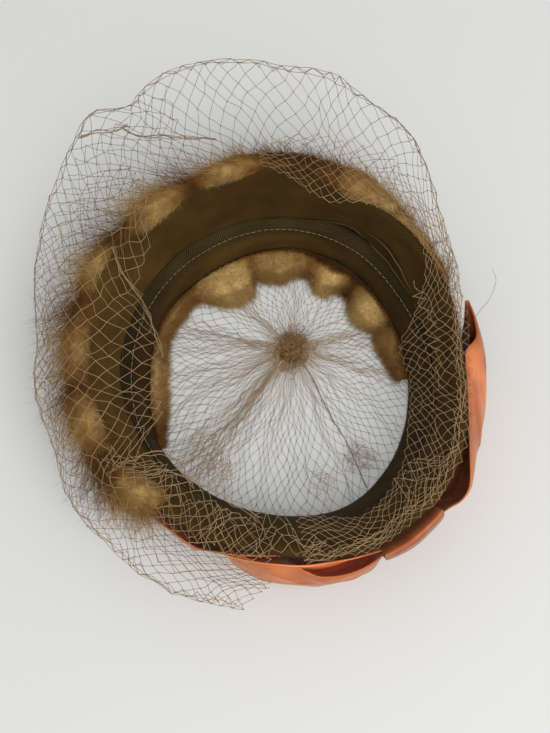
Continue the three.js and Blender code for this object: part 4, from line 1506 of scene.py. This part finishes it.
    def knotted(self) -> bpy.types.Object:
        """Makes the band that wraps the loops' roots."""
        first, last = self.knot
        turn = np.linspace(0, 1, 121)[:-1]
        row = self.knot_section.read(turn)
        along, _ = np.meshgrid(np.linspace(0, 1, 26), turn, indexing="ij")
        out, share = row["out"][None], row["share"][None]
        azimuth = first + (last - first) * along
        shown = np.clip((out - 9) / 5, 0, 1)
        wide, long = 28, 120
        place = np.stack([along * wide, 0.2 * long * turn[None] + 0 * along, 0 * along], -1)
        wave = Ripple(17, 10)(place)
        swell = 0.9 * np.sin(np.pi * along) ** 0.5 * shown + 0.35 * wave * shown
        swell = swell + 0.8 * bump(turn[None] - 0.36 - 0.05 * along, 0.035) * shown
        swell = swell - 0.7 * bump(turn[None] - 0.265, 0.014) * shown - 0.5
        face = self.ring.at(azimuth, share + 0 * along, out + swell)
        mid_share, mid_out = 0.52, 11.5
        inner = mid_share + (share - mid_share) * 0.96 + 0 * along
        inside = self.ring.at(azimuth, inner, mid_out + (out - mid_out) * 0.84 + swell)
        uv = np.stack(np.broadcast_arrays(turn[None] * long, along * wide), -1)
        tone = np.where((turn > 0.2) & (turn < 0.27), 0.8, 0.62)[None, :, None]
        tone = np.broadcast_to(tone, (*along.shape, 3))
        surface = Surface.cloth(face, inside, uv, (tone, tone), True)
        finish = SatinFinish("satin_bow_knot").make()
        made = surface.piece("bow_band", self.ring, finish, Slot.SATIN, "bow_knot")
        return made

    def build(self) -> list[bpy.types.Object]:
        """Makes every piece of satin."""
        return [*(self.cloth(spec) for spec in (self.sash, self.left, self.right)), self.knotted()]


# ---- netting ----


@dataclass(frozen=True)
class Knotted:
    """A net of diamond cells knotted at their corners.

    Attributes:
        columns: Cells along it.
        rows: Half cells across it.
        cord: The cord's radius, in millimetres.
        knot: A knot's radius, in millimetres.
        slack: How far a cord bows between its knots, in millimetres.
        seed: Which random numbers it takes.
        looped: Whether its ends meet.
        bowed: Whether its cords bow between their knots.
    """

    columns: int
    rows: int
    cord: float
    knot: float
    slack: float
    seed: int
    looped: bool = False
    bowed: bool = True

    def places(self) -> tuple[Array, Array]:
        """Returns each knot's place along and across the net, in shares."""
        row = np.arange(self.rows + 1)[:, None]
        column = np.arange(self.columns + (0 if self.looped else 1))[None]
        across = np.minimum(row, self.rows - 0.45) / self.rows + 0.0 * column
        return (column + 0.5 * (row % 2)) / self.columns, across

    def kept(self) -> Array:
        """Returns which knots are there: all but those past an open net's end."""
        along, _ = self.places()
        return np.ones(along.shape, bool) if self.looped else along <= 1 + 1e-9

    def cells(self, along: Array, across: Array) -> Array:
        """Returns places on the net as points, a cell to each unit."""
        return np.stack([along * self.columns, across * self.rows / 2, 0 * along], -1)

    def surface(self, at: Array, colours: Array) -> Surface:
        """Makes the cords and the knots.

        Args:
            at: Where each knot is, rows by columns by 3.
            colours: The cord's colour at each knot.

        Returns:
            Everything as one surface.
        """
        flat, long, dim = 0.3, 1.5, 0.8
        rng = np.random.default_rng(self.seed)
        rows, columns = at.shape[:2]
        row, column = np.meshgrid(np.arange(rows - 1), np.arange(columns), indexing="ij")
        side = column + np.where(row % 2 == 1, 1, -1)
        first = np.tile(row.ravel(), 2), np.tile(column.ravel(), 2)
        last = first[0] + 1, np.concatenate([column.ravel(), side.ravel()])
        held = np.ones(len(last[1]), bool)
        if not self.looped:
            held = (last[1] >= 0) & (last[1] < columns)
        last = last[0], last[1] % columns
        kept = self.kept()
        held &= kept[first] & kept[last]
        a, b = at[first][held], at[last][held]
        bow = rng.normal(0, 1, a.shape) * self.slack + np.array([0, 0, -0.4]) * self.slack
        ca, cb = colours[first][held], colours[last][held]
        paths = np.stack([a, (a + b) / 2 + bow, b] if self.bowed else [a, b], 1)
        paths[..., 2] = np.maximum(paths[..., 2], self.cord + 0.1)
        tone = np.exp(rng.normal(0, 0.16, (len(paths), 1, 1)))
        shade = np.stack([ca, (ca + cb) / 2, cb] if self.bowed else [ca, cb], 1) * tone
        dots = at[kept]
        way = unit(rng.normal(0, 1, dots.shape) * [1, 1, flat]) * self.knot * long
        ties = np.stack([dots - way, dots, dots + way], 1)
        size = np.array([0.2 * self.knot, self.knot, 0.2 * self.knot])
        dark = colours[kept][:, None] * dim
        parts = [Surface.threads(paths, self.cord, shade), Surface.threads(ties, size, dark)]
        return Surface.joined(parts)


@dataclass(frozen=True)
class Tangle:
    """A tangle of short curled threads. Lengths are millimetres.

    Attributes:
        centre: The middle of its foot.
        size: Its radius and its height.
        count: How many threads it has.
        cord: A thread's radius.
        tones: The colour low in it, darker as painted shade, and at its top.
        bends: The least and greatest radius of a curl.
    """

    centre: tuple[float, float, float]
    size: tuple[float, float]
    count: int
    cord: float
    tones: tuple[Colour, Colour]
    bends: tuple[float, float]

    def surface(self, rng: np.random.Generator) -> Surface:
        """Makes the threads.

        Args:
            rng: Where chance comes from.

        Returns:
            All of them as one surface.
        """
        one, (wide, tall) = (self.count, 1), self.size
        t = np.linspace(0, 1, 7)[None]
        angle = rng.uniform(0, 2 * np.pi, one)
        off = wide * np.sqrt(rng.uniform(0, 1, one)) * 0.88
        rise = tall * (1 - (off / wide) ** 2) * rng.uniform(0.1, 1, one)
        root = np.stack([off * np.cos(angle), off * np.sin(angle), rise], -1)
        first = rng.uniform(0, 2 * np.pi, one)
        swing = rng.uniform(1.4, 3.6, one) * rng.choice([-1, 1], one)
        turn = (first + swing * t)[..., None]
        across = unit(rng.normal(0, 1, (*one, 3)) * [1, 1, 0.5])
        beside = unit(np.cross(across, unit(rng.normal(0, 0.8, (*one, 3)) + [0, 0, 0.7])))
        bend = rng.uniform(*self.bends, (*one, 1))
        paths = root + (np.cos(turn) * across + np.sin(turn) * beside) * bend
        paths = paths + np.array(self.centre)
        paths[..., 2] = np.maximum(paths[..., 2], 0.4)
        # Darker low in the tangle: painted shade.
        up = np.clip((paths[..., 2] - self.centre[2]) / max(tall, 1), 0, 1)
        colours = mixed(*self.tones, up) * np.exp(rng.normal(0, 0.3, (*one, 1)))
        return Surface.threads(paths, self.cord, colours)


VEIL_COLUMNS = ("azimuth", "foot", "side", "shoulder", "fold", "fold_z")
FLAP_COLUMNS = ("azimuth", "out", "start_z", "edge", "edge_z")
# Where the crown net's cords are drawn together: the azimuth, the width in degrees and how much.
BUNDLES = (
    (158, 15, 0.6), (180, 9, 0.55), (197, 8, 0.6), (228, 15, 0.7), (124, 8, 0.5), (26, 11, 0.55),
    (2, 12, 0.5), (302, 9, 0.5), (340, 10, 0.3), (262, 13, 0.3), (84, 15, 0.3))
# Cords that lie together: their height, how many, how far apart, and the line that they follow.
CORDS = (
    (66, 4, 0.9, (
        (-86, 60), (-84.9, 56.4), (-80.8, 46.6), (-76, 40), (-70.1, 31.6), (-64.7, 20.8), (-60, 9),
        (-57, 0))),
    (70, 4, 1.1, ((-106, 120), (-98, 123.4), (-88, 123.8), (-80, 127.4))),
    (70, 4, 1.1, (
        (-82.6, 124.9), (-74.8, 120.2), (-65.7, 120.7), (-53.2, 119.4), (-44.1, 120.4),
        (-32.8, 118))),
    (64, 3, 1.5, (
        (-84.8, -60.7), (-75.3, -54), (-65.2, -49.9), (-55.5, -49.3), (-47.2, -53.9),
        (-39.1, -67))),
    (63, 3, 2.0, (
        (-87.5, -68.4), (-72.4, -62.2), (-54.7, -58), (-36.7, -63), (-21.3, -73), (-6, -82.9))),
)


@dataclass
class Netting:
    """The face veil, the net across the crown and the knot that gathers it, in millimetres.

    The veil runs from the azimuth ``start`` to ``end``, and ``hub`` is where the crown's net is
    gathered. The cords' own sizes are radii.
    """

    ring: Ring
    hub: tuple[float, float] = (6.3, 19.6)
    net: Knotted = Knotted(98, 26, 0.155, 0.32, 0.2, 50)
    start: float = -81.0
    end: float = 271.0
    floor: float = 0.35
    edge_cord: float = 0.17
    fold_cord: float = 0.2
    seam_cord: float = 0.125
    # tan is the cords' colour lit at the top, grey their colour in painted shade low down.
    tan: Colour = (0.335, 0.212, 0.100)
    grey: Colour = (0.135, 0.090, 0.058)
    veil_rows: Table = Table(VEIL_COLUMNS, (
        (-81, 5, 5.1, 5.45, 6, 63), (-66, 5, 5.1, 5.4, 1.8, 62), (0, 5, 5.1, 5.4, 1.8, 62.5),
        (15, 5, 5.1, 5.45, 5, 65), (26.5, 8, 9.5, 10, 9, 67), (37, 10, 13, 14.5, 14, 67),
        (45, 12, 17, 19, 23, 67), (54, 15, 21, 24, 35, 67), (62, 16, 22, 25, 44, 66),
        (71, 16, 23, 27, 51, 65), (80, 16, 23, 27, 56.5, 64.5), (90, 16, 23, 27, 62, 64),
        (105, 16, 23, 27, 67, 64), (117, 16, 23, 27, 65.5, 64), (120.5, 16, 23, 27, 60, 65),
        (126, 16, 23, 27, 68, 66), (131, 16, 23, 27, 63.5, 66), (136, 16, 23, 27, 55.5, 66),
        (141, 16, 23, 26, 47, 67), (148, 16, 23, 25, 42, 68), (155, 16, 22, 25, 36.5, 68),
        (166, 16, 22, 24, 28.5, 68), (178, 16, 21, 23, 25, 68), (192, 15, 20, 22, 25, 68),
        (208, 15, 20, 22, 27, 67), (223, 15, 20, 23, 31, 67), (237, 15, 20, 24, 35, 66),
        (258, 16, 23, 27, 34, 64), (275.5, 20, 26, 26, 27, 63)))
    flaps: tuple[tuple[Knotted, Table], ...] = (
        (Knotted(52, 13, 0.145, 0.3, 0.2, 70), Table(FLAP_COLUMNS, (
            (-81, 5, 63, 80, 56), (-60, 5, 63, 91, 57), (-49, 5, 63.5, 88, 56),
            (-22, 6, 64, 74, 54), (5, 7, 65, 65, 52), (20, 9, 66, 77, 58), (38, 15, 67, 95, 65),
            (58, 24, 68, 94, 67), (71, 24, 68, 88, 67), (79, 20, 68, 91, 67), (86, 16, 67, 98, 67),
            (94, 10, 66, 106, 66)))),
        (Knotted(27, 12, 0.165, 0.33, 0.25, 75), Table(FLAP_COLUMNS, (
            (128, 30, 66, 112, 68), (137, 34, 67, 90, 67), (150, 30, 68, 81, 65),
            (162, 22, 68, 68, 64), (173, 18, 68, 60, 62), (190, 19, 68, 59, 61),
            (209, 20, 67, 63, 61), (216, 21, 67, 84, 63), (225, 22, 66, 80, 61),
            (239, 24, 66, 73, 59), (255, 26, 65, 81, 58), (270, 20, 63, 86, 57)))),
        (Knotted(26, 9, 0.15, 0.3, 0.25, 78), Table(FLAP_COLUMNS, (
            (112, 60, 61, 124, 48), (122, 56, 61, 121, 44), (134, 54, 61, 119, 42),
            (142, 44, 62, 118, 43), (150, 38, 62, 116, 46), (166, 26, 62, 113, 50),
            (185, 23, 62, 112, 52), (205, 24, 61, 109, 52)))))

    # The crumpled patches' first and last azimuth, cells along, half cells across, radii and seed.
    patches: tuple[tuple[int, ...], ...] = (
        (-152, -74, 24, 6, 77, 101, 91), (-50, -26, 6, 4, 86, 103, 96), (-10, 30, 9, 1, 77, 84, 94))
    # The crown net's loose layers: their first and last azimuth, cells along and seed.
    layers: tuple[tuple[int, ...], ...] = (
        (206, 246, 15, 84), (146, 172, 9, 85), (118, 132, 4, 86), (14, 36, 7, 87),
        (176, 204, 8, 88), (212, 234, 9, 89), (354, 372, 5, 92))
    # The tangles over the crown net: their middle, radius and count of threads.
    tangles: tuple[tuple[int, ...], ...] = (
        (-40, -44, 30, 12, 120), (-30, -52, 22, 9, 60), (24, -60, 22, 8, 60), (44, -42, 3, 10, 90))

    def sections(self, azimuth: Array, count: int = 90) -> Array:
        """Finds the veil's sections.

        Args:
            azimuth: Where they are.
            count: Points along each.

        Returns:
            Azimuths by points by 3, at even distances along each section.
        """
        row = self.veil_rows.read(azimuth)

        def wall(share: float, out: Array | float, z: Array | float | None = None) -> Array:
            """Returns points off the wall, at another height if one is given."""
            points = self.ring.at(self.ring.leaned(azimuth, share), share, out)
            if z is not None:
                points[:, 2] = z
            return points

        stops = np.stack([
            wall(0, 4.0, self.floor), wall(0, row["foot"], self.floor), wall(0.36, row["side"]),
            wall(0.86, row["shoulder"]), wall(1, row["fold"], row["fold_z"]),
            wall(1, row["fold"] - 6, row["fold_z"] + 2.5)], 1)
        ahead = np.concatenate([stops[:, :1], stops, stops[:, -1:]], 1)
        slope = (ahead[:, 2:] - ahead[:, :-2]) / 2
        slack, fine = 0.8, 25
        t = np.linspace(0, 1, fine)[None, None, :, None]
        m, n = slope[:, :-1, None] * slack, slope[:, 1:, None] * slack
        line = hermite(stops[:, :-1, None], m, stops[:, 1:, None], n, t)
        line = line.reshape(len(azimuth), -1, 3)
        steps = np.linalg.norm(np.diff(line, axis=1), axis=2)
        far = np.concatenate([np.zeros((len(azimuth), 1)), np.cumsum(steps, 1)], 1)
        even = np.linspace(0, 1, count)
        out = np.empty((len(azimuth), count, 3))
        for i in range(len(azimuth)):
            for axis in range(3):
                out[i, :, axis] = np.interp(even * far[i, -1], far[i], line[i, :, axis])
        return out

    @staticmethod
    def shaken(points: Array, seed: int, spans: Sequence[tuple[float, float]]) -> Array:
        """Returns points moved by smooth noise.

        Args:
            points: The points.
            seed: Which noise.
            spans: The length of each noise and how far it moves a point.

        Returns:
            The moved points.
        """
        moved = points
        for n, (length, far) in enumerate(spans):
            noise = [Ripple(seed + 3 * n + k, length)(points) for k in range(3)]
            moved = moved + np.stack(noise, -1) * far * np.array([1, 1, 0.7])
        return moved

    def veil(self) -> bpy.types.Object:
        """Makes the face veil."""
        rng = np.random.default_rng(50)
        jitter, slant = 0.3, 8
        fine = np.linspace(self.start, self.end, 1400)
        grid = self.sections(fine)
        reach = np.linalg.norm(grid[:, 55:75, :2], axis=2).mean(1)
        filled = np.concatenate([[0], np.cumsum((reach[1:] + reach[:-1]) / 2)])
        along, across = self.net.places()
        kept = self.net.kept()
        cells = self.net.cells(along, across)
        wander = 0.6 * Ripple(51, 8)(cells) + 0.22 * Ripple(54, 3.5)(cells)
        lift = 0.5 * Ripple(52, 9)(cells) + 0.22 * Ripple(53, 3.5)(cells)
        place = along + wander * np.clip(across * 3, 0, 1) * from_ends(along, 12) / self.net.columns
        place = np.clip(place, 0, 1)
        azimuth = np.interp(place, filled / filled[-1], fine)
        azimuth = azimuth - slant * across**3 * np.clip((place - 0.9) / 0.1, 0, 1)
        at = (azimuth - self.start) / (self.end - self.start) * (len(fine) - 1)
        at = np.clip(at, 0, len(fine) - 1.001)
        over = across + lift * np.sin(np.pi * np.clip(across, 0, 1)) * 2 / self.net.rows
        over = np.clip(over, 0, 1) * (grid.shape[1] - 1.001)
        i, j = at.astype(int), over.astype(int)
        s, t = (at - i)[..., None], (over - j)[..., None]
        near, far = (grid[i, k] * (1 - s) + grid[i + 1, k] * s for k in (j, j + 1))
        knots = near * (1 - t) + far * t
        free = np.clip((across - 0.3) * 3, 0, 1)[..., None]
        moved = self.shaken(knots, 60, ((36, 1.8), (13, 0.8))) + rng.normal(0, jitter, knots.shape)
        knots = knots + (moved - knots) * free + rng.normal(0, 0.25, knots.shape) * (1 - free)
        knots[..., 2] = np.maximum(knots[..., 2], self.floor)
        borders = [knots[row][kept[row]] for row in (self.net.rows - 1, self.net.rows - 2)]
        parts = [
            self.net.surface(knots, self.toned(knots)),
            *(self.flap(net, rows) for net, rows in self.flaps),
            self.gathered(),
            *(self.border(path, 140 + n) for n, path in enumerate(borders)),
            *self.cords(),
        ]
        finish = StrandFinish("veil_thread", 0.55, 0.2, 0.3).make()
        whole = Surface.joined(parts)
        return whole.piece("veil_netting", self.ring, finish, Slot.NET, "face_veil")

    def border(self, path: Array, seed: int) -> Surface:
        """Makes the cord that runs along the veil's outer fold.

        Args:
            path: Points along the fold.
            seed: Which noise shakes it.

        Returns:
            The cord.
        """
        steps = np.arange(len(path))
        fine = np.linspace(0, len(path) - 1, 2 * len(path))
        line = np.stack([np.interp(fine, steps, path[:, axis]) for axis in range(3)], -1)
        paths = self.shaken(line, seed, ((9, 0.5),))[None]
        return Surface.threads(paths, self.edge_cord, self.toned(paths))

    def flap(self, net: Knotted, rows: Table) -> Surface:
        """Makes a part of the veil that comes in over the ring from its fold.

        Args:
            net: Its net.
            rows: Round the hat, where it starts and where its edge lies.

        Returns:
            The part.
        """
        rng = np.random.default_rng(net.seed)
        along, across = net.places()
        first, last = rows.rows[0][0], rows.rows[-1][0]
        cells = net.cells(along, across)
        wander = 0.45 * Ripple(net.seed, 7)(cells) + 0.22 * Ripple(net.seed + 1, 3)(cells)
        place = np.clip(along + wander * from_ends(along, 12) / net.columns, 0, 1)
        azimuth = first + (last - first) * place
        row = rows.read(azimuth)
        start = self.ring.at(azimuth, 1.0 + 0 * azimuth, row["out"])
        start[..., 2] = row["start_z"]
        edge = self.ring.about(azimuth, row["edge"], row["edge_z"])
        lift = 0.4 * Ripple(net.seed + 2, 8)(cells) + 0.2 * Ripple(net.seed + 3, 3)(cells)
        share = np.clip(across + lift * np.sin(np.pi * across) * 2 / net.rows, 0, 1)[..., None]
        arch = np.array([0, 0, 5.0])
        knots = start + (edge - start) * share + arch * share * (1 - share) * 2
        knots = self.shaken(knots, net.seed + 4, ((30, 1.6), (12, 0.8)))
        knots = knots + rng.normal(0, 0.3, knots.shape)
        return net.surface(knots, self.toned(knots))

    def toned(self, points: Array) -> Array:
        """Returns cord colour at points: painted light, paler towards the top and over the hat."""
        up = np.clip((points[..., 2] - 36) / 26, 0, 1)
        far = np.clip((np.linalg.norm(points[..., :2], axis=-1) - 112) / 20, 0, 1)
        golden = 0.5 + 0.5 * Ripple(77, 22)(points)
        return mixed(self.grey, self.tan, up * (1 - 0.55 * far)) * (0.86 + 0.28 * golden)[..., None]

    def gathered(self) -> Surface:
        """Makes the veil's crumpled second layer over the front and right of the facing."""
        height = 62.5
        parts = []
        for first, last, columns, rows, low, high, seed in self.patches:
            net = Knotted(columns, rows, 0.16, 0.36, 0.3, seed)
            along, across = net.places()
            cells = net.cells(along, across)
            azimuth = first + (last - first) * along + 1.6 * Ripple(seed, 4)(cells)
            ragged = 0.85 + 0.3 * Ripple(seed + 1, 6)(cells)
            radius = high - (high - low) * across * from_ends(along, 6, 0.25) * ragged
            knots = self.ring.about(azimuth, radius, height + 1.5 * Ripple(seed + 2, 5)(cells))
            knots = self.shaken(knots, seed + 3, ((16, 2.0), (7, 1.2)))
            parts.append(net.surface(knots, self.toned(knots)))
        return Surface.joined(parts)

    def cords(self) -> list[Surface]:
        """Makes the cords that lie together along the veil's folds."""
        made = []
        for n, (z, count, spread, stops) in enumerate(CORDS):
            line = np.array(stops)
            far = np.concatenate([[0], np.cumsum(np.linalg.norm(np.diff(line, axis=0), axis=1))])
            at = np.linspace(0, far[-1], 2 + int(far[-1] / 2.5))
            x, y = (np.interp(at, far, line[:, axis]) for axis in (0, 1))
            path = np.stack([x, y, z + 0 * at], -1)
            spans = ((22, spread), (7, 0.6 * spread))
            seeds = [120 + 20 * n + 7 * k for k in range(count)]
            paths = np.stack([self.shaken(path, seed, spans) for seed in seeds])
            made.append(Surface.threads(paths, self.fold_cord, self.toned(paths)))
        return made

    def crown_layer(self, net: Knotted, first: float, last: float, tint: float) -> Surface:
        """Makes a layer of net drawn in to the hub.

        Args:
            net: The net.
            first: The azimuth where it starts.
            last: The azimuth where it ends.
            tint: How tan it is.

        Returns:
            The layer.
        """
        along, across = net.places()
        azimuth = first + (last - first) * along
        inward = np.clip(1 - across, 0, 1)
        shift, near = 0 * azimuth, 0 * azimuth
        for centre, width, pull in BUNDLES:
            gap = turned(azimuth - centre)
            shift = shift - gap * pull * bump(gap, 1.35 * width) * (0.15 + 0.85 * inward**0.6)
            near = near + bump(gap, width) * (0.35 + 0.65 * inward)
        noise = net.cells(along, across)
        if net.looped:
            turn, wheel = 2 * np.pi * along, 14
            rim = [wheel * np.cos(turn), wheel * np.sin(turn)]
            noise = np.stack([*rim, across * net.rows / 2], -1)
        shift = shift + 1.5 * Ripple(net.seed, 5)(noise) + 0.9 * Ripple(net.seed + 1, 2.4)(noise)
        azimuth = azimuth + shift
        edge = self.ring.about(azimuth, self.ring.table.read(azimuth)["crown"] + 2.6, 0.0)
        hub, nearest = np.array([*self.hub, 0.0]), 0.085
        middle = np.sin(np.pi * across)
        uneven = across + 0.024 * Ripple(net.seed + 2, 4)(noise) * middle
        reach = nearest + (1 - nearest) * np.clip(uneven, 0, 1)
        knots = hub + (edge - hub) * reach[..., None]
        sag = 0.6 * (1 + Ripple(net.seed + 5, 30)(knots)) * middle
        knots[..., 2] = 0.5 + sag + 2.6 * inward**5
        rng = np.random.default_rng(net.seed)
        loose = 0.5 if net.looped else 0.9
        astray = rng.normal(0, loose, knots[..., :2].shape)
        knots[..., :2] += astray * np.clip(across * 4, 0.3, 1)[..., None]
        tan = np.clip(tint + 0.6 * near + inward**4, 0, 1)
        return net.surface(knots, mixed((0.215, 0.18, 0.13), (0.43, 0.285, 0.165), tan))

    def crown(self) -> bpy.types.Object:
        """Makes the net across the crown hole."""
        whole = Knotted(90, 20, 0.095, 0.27, 0.14, 81, True, False)
        parts = [self.crown_layer(whole, 0, 360, 0.0)]
        for first, last, columns, seed in self.layers:
            loose = Knotted(columns, 18, 0.08, 0.17, 0.5, seed, False, False)
            parts.append(self.crown_layer(loose, first, last, 0.6))
        parts.append(self.seam())
        for x, y, z, spread, count in self.tangles:
            rng = np.random.default_rng(100 + count + x)
            # The tangles' colour low down, darker as painted shade, and at their top.
            tones = (0.34, 0.25, 0.19) if z < 9 else (0.40, 0.255, 0.13), (0.46, 0.30, 0.17)
            tangle = Tangle((x, y, z), (spread, 2.0), count, 0.085, tones, (1.2, 4.5))
            parts.append(tangle.surface(rng))
        finish = StrandFinish("crown_thread", 0.6, 0.15, 0.25).make()
        whole = Surface.joined(parts)
        return whole.piece("crown_netting", self.ring, finish, Slot.NET, "crown_net")

    def seam(self) -> Surface:
        """Makes the threads along the crown net's seam."""
        stops = Table(("place", "x", "y"), (
            (0, 11, 14), (0.25, 18, 3), (0.5, 28, -18), (0.75, 37, -33), (1, 48.6, -59)))
        read = stops.read(np.linspace(0, 1, 70))
        path = np.stack([read["x"], read["y"], 1.6 + 0 * read["x"]], -1)
        paths = np.stack([self.shaken(path, 90 + 7 * n, ((9, 0.35), (4, 0.3))) for n in range(3)])
        return Surface.threads(paths, self.seam_cord, (0.17, 0.105, 0.06))

    def bun(self) -> bpy.types.Object:
        """Makes the tangle of net at the hub."""
        rng = np.random.default_rng(60)
        x, y = self.hub
        # Each pair is a tangle's colour low down, darker as painted shade, and at its top.
        heap = ((0.19, 0.095, 0.036), (0.37, 0.205, 0.082))
        skirt = ((0.26, 0.15, 0.07), (0.38, 0.23, 0.11))
        top = ((0.17, 0.085, 0.03), (0.47, 0.27, 0.11))
        tail = ((0.24, 0.12, 0.07), (0.40, 0.23, 0.15))
        tangles = (
            Tangle((x, y, 0.6), (11.2, 4.6), 600, 0.13, heap, (0.6, 2.4)),
            Tangle((x, y, 0.6), (16.0, 1.6), 190, 0.1, skirt, (1.0, 4.0)),
            Tangle((x, y, 2.2), (8.6, 3.4), 240, 0.15, top, (0.7, 1.9)),
            Tangle((x - 3, y - 9, 1.2), (3.4, 1.5), 90, 0.11, tail, (0.8, 2.4)),
        )
        parts = [tangle.surface(rng) for tangle in tangles]
        finish = StrandFinish("knot_thread", 0.7, 0.05, 0.06).make()
        whole = Surface.joined(parts)
        return whole.piece("netting_knot", self.ring, finish, Slot.NET, "net_knot")

    def stray(self) -> bpy.types.Object:
        """Makes one loose thread that stands out beside the bow."""
        stops = Table(("place", "x", "y", "z"), (
            (0, 103, 22, 58), (0.3, 106, 26, 60), (0.55, 111.3, 32.7, 60), (0.8, 114.7, 42.4, 60),
            (1, 112.8, 48.5, 60)))
        steps = 24
        read = stops.read(np.linspace(0, 1, steps))
        path = np.stack([read["x"], read["y"], read["z"]], -1)[None]
        surface = Surface.threads(path, np.linspace(0.14, 0.09, steps), (0.10, 0.05, 0.03))
        finish = StrandFinish("stray_hair").make()
        return surface.piece("stray_thread", self.ring, finish, Slot.NET)

    def build(self) -> list[bpy.types.Object]:
        """Makes every piece of net."""
        return [self.veil(), self.crown(), self.bun(), self.stray()]


# ---- studio ----


@dataclass(frozen=True)
class Studio:
    """The floor, the light and the camera.

    The camera's place is in millimetres about the hat's axis. The floor's and the lamp's lengths
    are metres.
    """

    ring: Ring
    camera: tuple[float, float, float] = (36.2, -137.6, 641.7)
    looks: tuple[float, float, float] = (-0.060, 0.224, -0.973)
    lens: float = 75.8
    sensor: float = 36.0
    sky: float = 0.6
    sky_colour: Colour = (0.97, 0.985, 1.0)
    lamp: float = 13.8
    lamp_size: float = 1.1
    lamp_at: tuple[float, float, float] = (0.46, -0.55, 1.32)
    lamp_colour: Colour = (1.0, 0.985, 0.96)
    lamp_aim: tuple[float, float, float] = (0.0, 0.0, 0.02)
    floor_reach: float = 3.0
    floor_drop: float = 0.0002

    def build(self) -> None:
        """Makes everything."""
        self.floor()
        self.light()
        self.shoot()

    def floor(self) -> None:
        """Lays a wide pale floor under the hat."""
        size = self.floor_reach
        mesh = bpy.data.meshes.new("floor")
        corners = [(-size, -size, 0), (size, -size, 0), (size, size, 0), (-size, size, 0)]
        mesh.from_pydata(corners, [], [(0, 1, 2, 3)])
        mesh.materials.append(FloorFinish().make())
        floor = bpy.data.objects.new("floor", mesh)
        floor.location.z = -self.floor_drop
        bpy.context.scene.collection.objects.link(floor)

    def light(self) -> None:
        """Sets an even sky and one broad lamp overhead."""
        world = bpy.data.worlds.new("sky")
        world.use_nodes = True
        back = world.node_tree.nodes["Background"]
        back.inputs[0].default_value = (*self.sky_colour, 1.0)
        back.inputs[1].default_value = self.sky
        bpy.context.scene.world = world
        data = bpy.data.lights.new("overhead", "AREA")
        data.shape, data.size, data.energy = "DISK", self.lamp_size, self.lamp
        data.color = self.lamp_colour
        lamp = bpy.data.objects.new("overhead", data)
        lamp.location = self.lamp_at
        aim = Vector(self.lamp_aim) - lamp.location
        lamp.rotation_euler = aim.to_track_quat("-Z", "Y").to_euler()
        bpy.context.scene.collection.objects.link(lamp)

    def shoot(self) -> None:
        """Places the camera."""
        data = bpy.data.cameras.new("camera")
        data.lens, data.sensor_width, data.sensor_fit = self.lens, self.sensor, "HORIZONTAL"
        camera = bpy.data.objects.new("camera", data)
        forward = Vector(self.looks).normalized()
        right = (Vector((1, 0, 0)) - forward * forward.x).normalized()
        up = right.cross(forward)
        turn = Matrix((right, up, -forward)).transposed().to_4x4()
        place = self.ring.in_part(np.array(self.camera))
        camera.matrix_world = Matrix.Translation(place) @ turn
        bpy.context.scene.collection.objects.link(camera)
        bpy.context.scene.camera = camera
        bpy.context.scene.view_settings.view_transform = "Standard"


def main() -> None:
    """Loads the parts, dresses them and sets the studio."""
    logging.basicConfig(level=logging.INFO, format="%(message)s")
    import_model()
    ring = Ring.found()
    LOG.info("axis at %.2f, %.2f mm", *ring.centre)
    cloth = RingCloth(ring)
    cloth.velvet()
    cloth.facing()
    cloth.sweatband()
    cloth.stitches()
    Fur(ring).build()
    SatinBow(ring).build()
    Netting(ring).build()
    Studio(ring).build()
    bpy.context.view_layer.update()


if __name__ == "__main__":
    main()
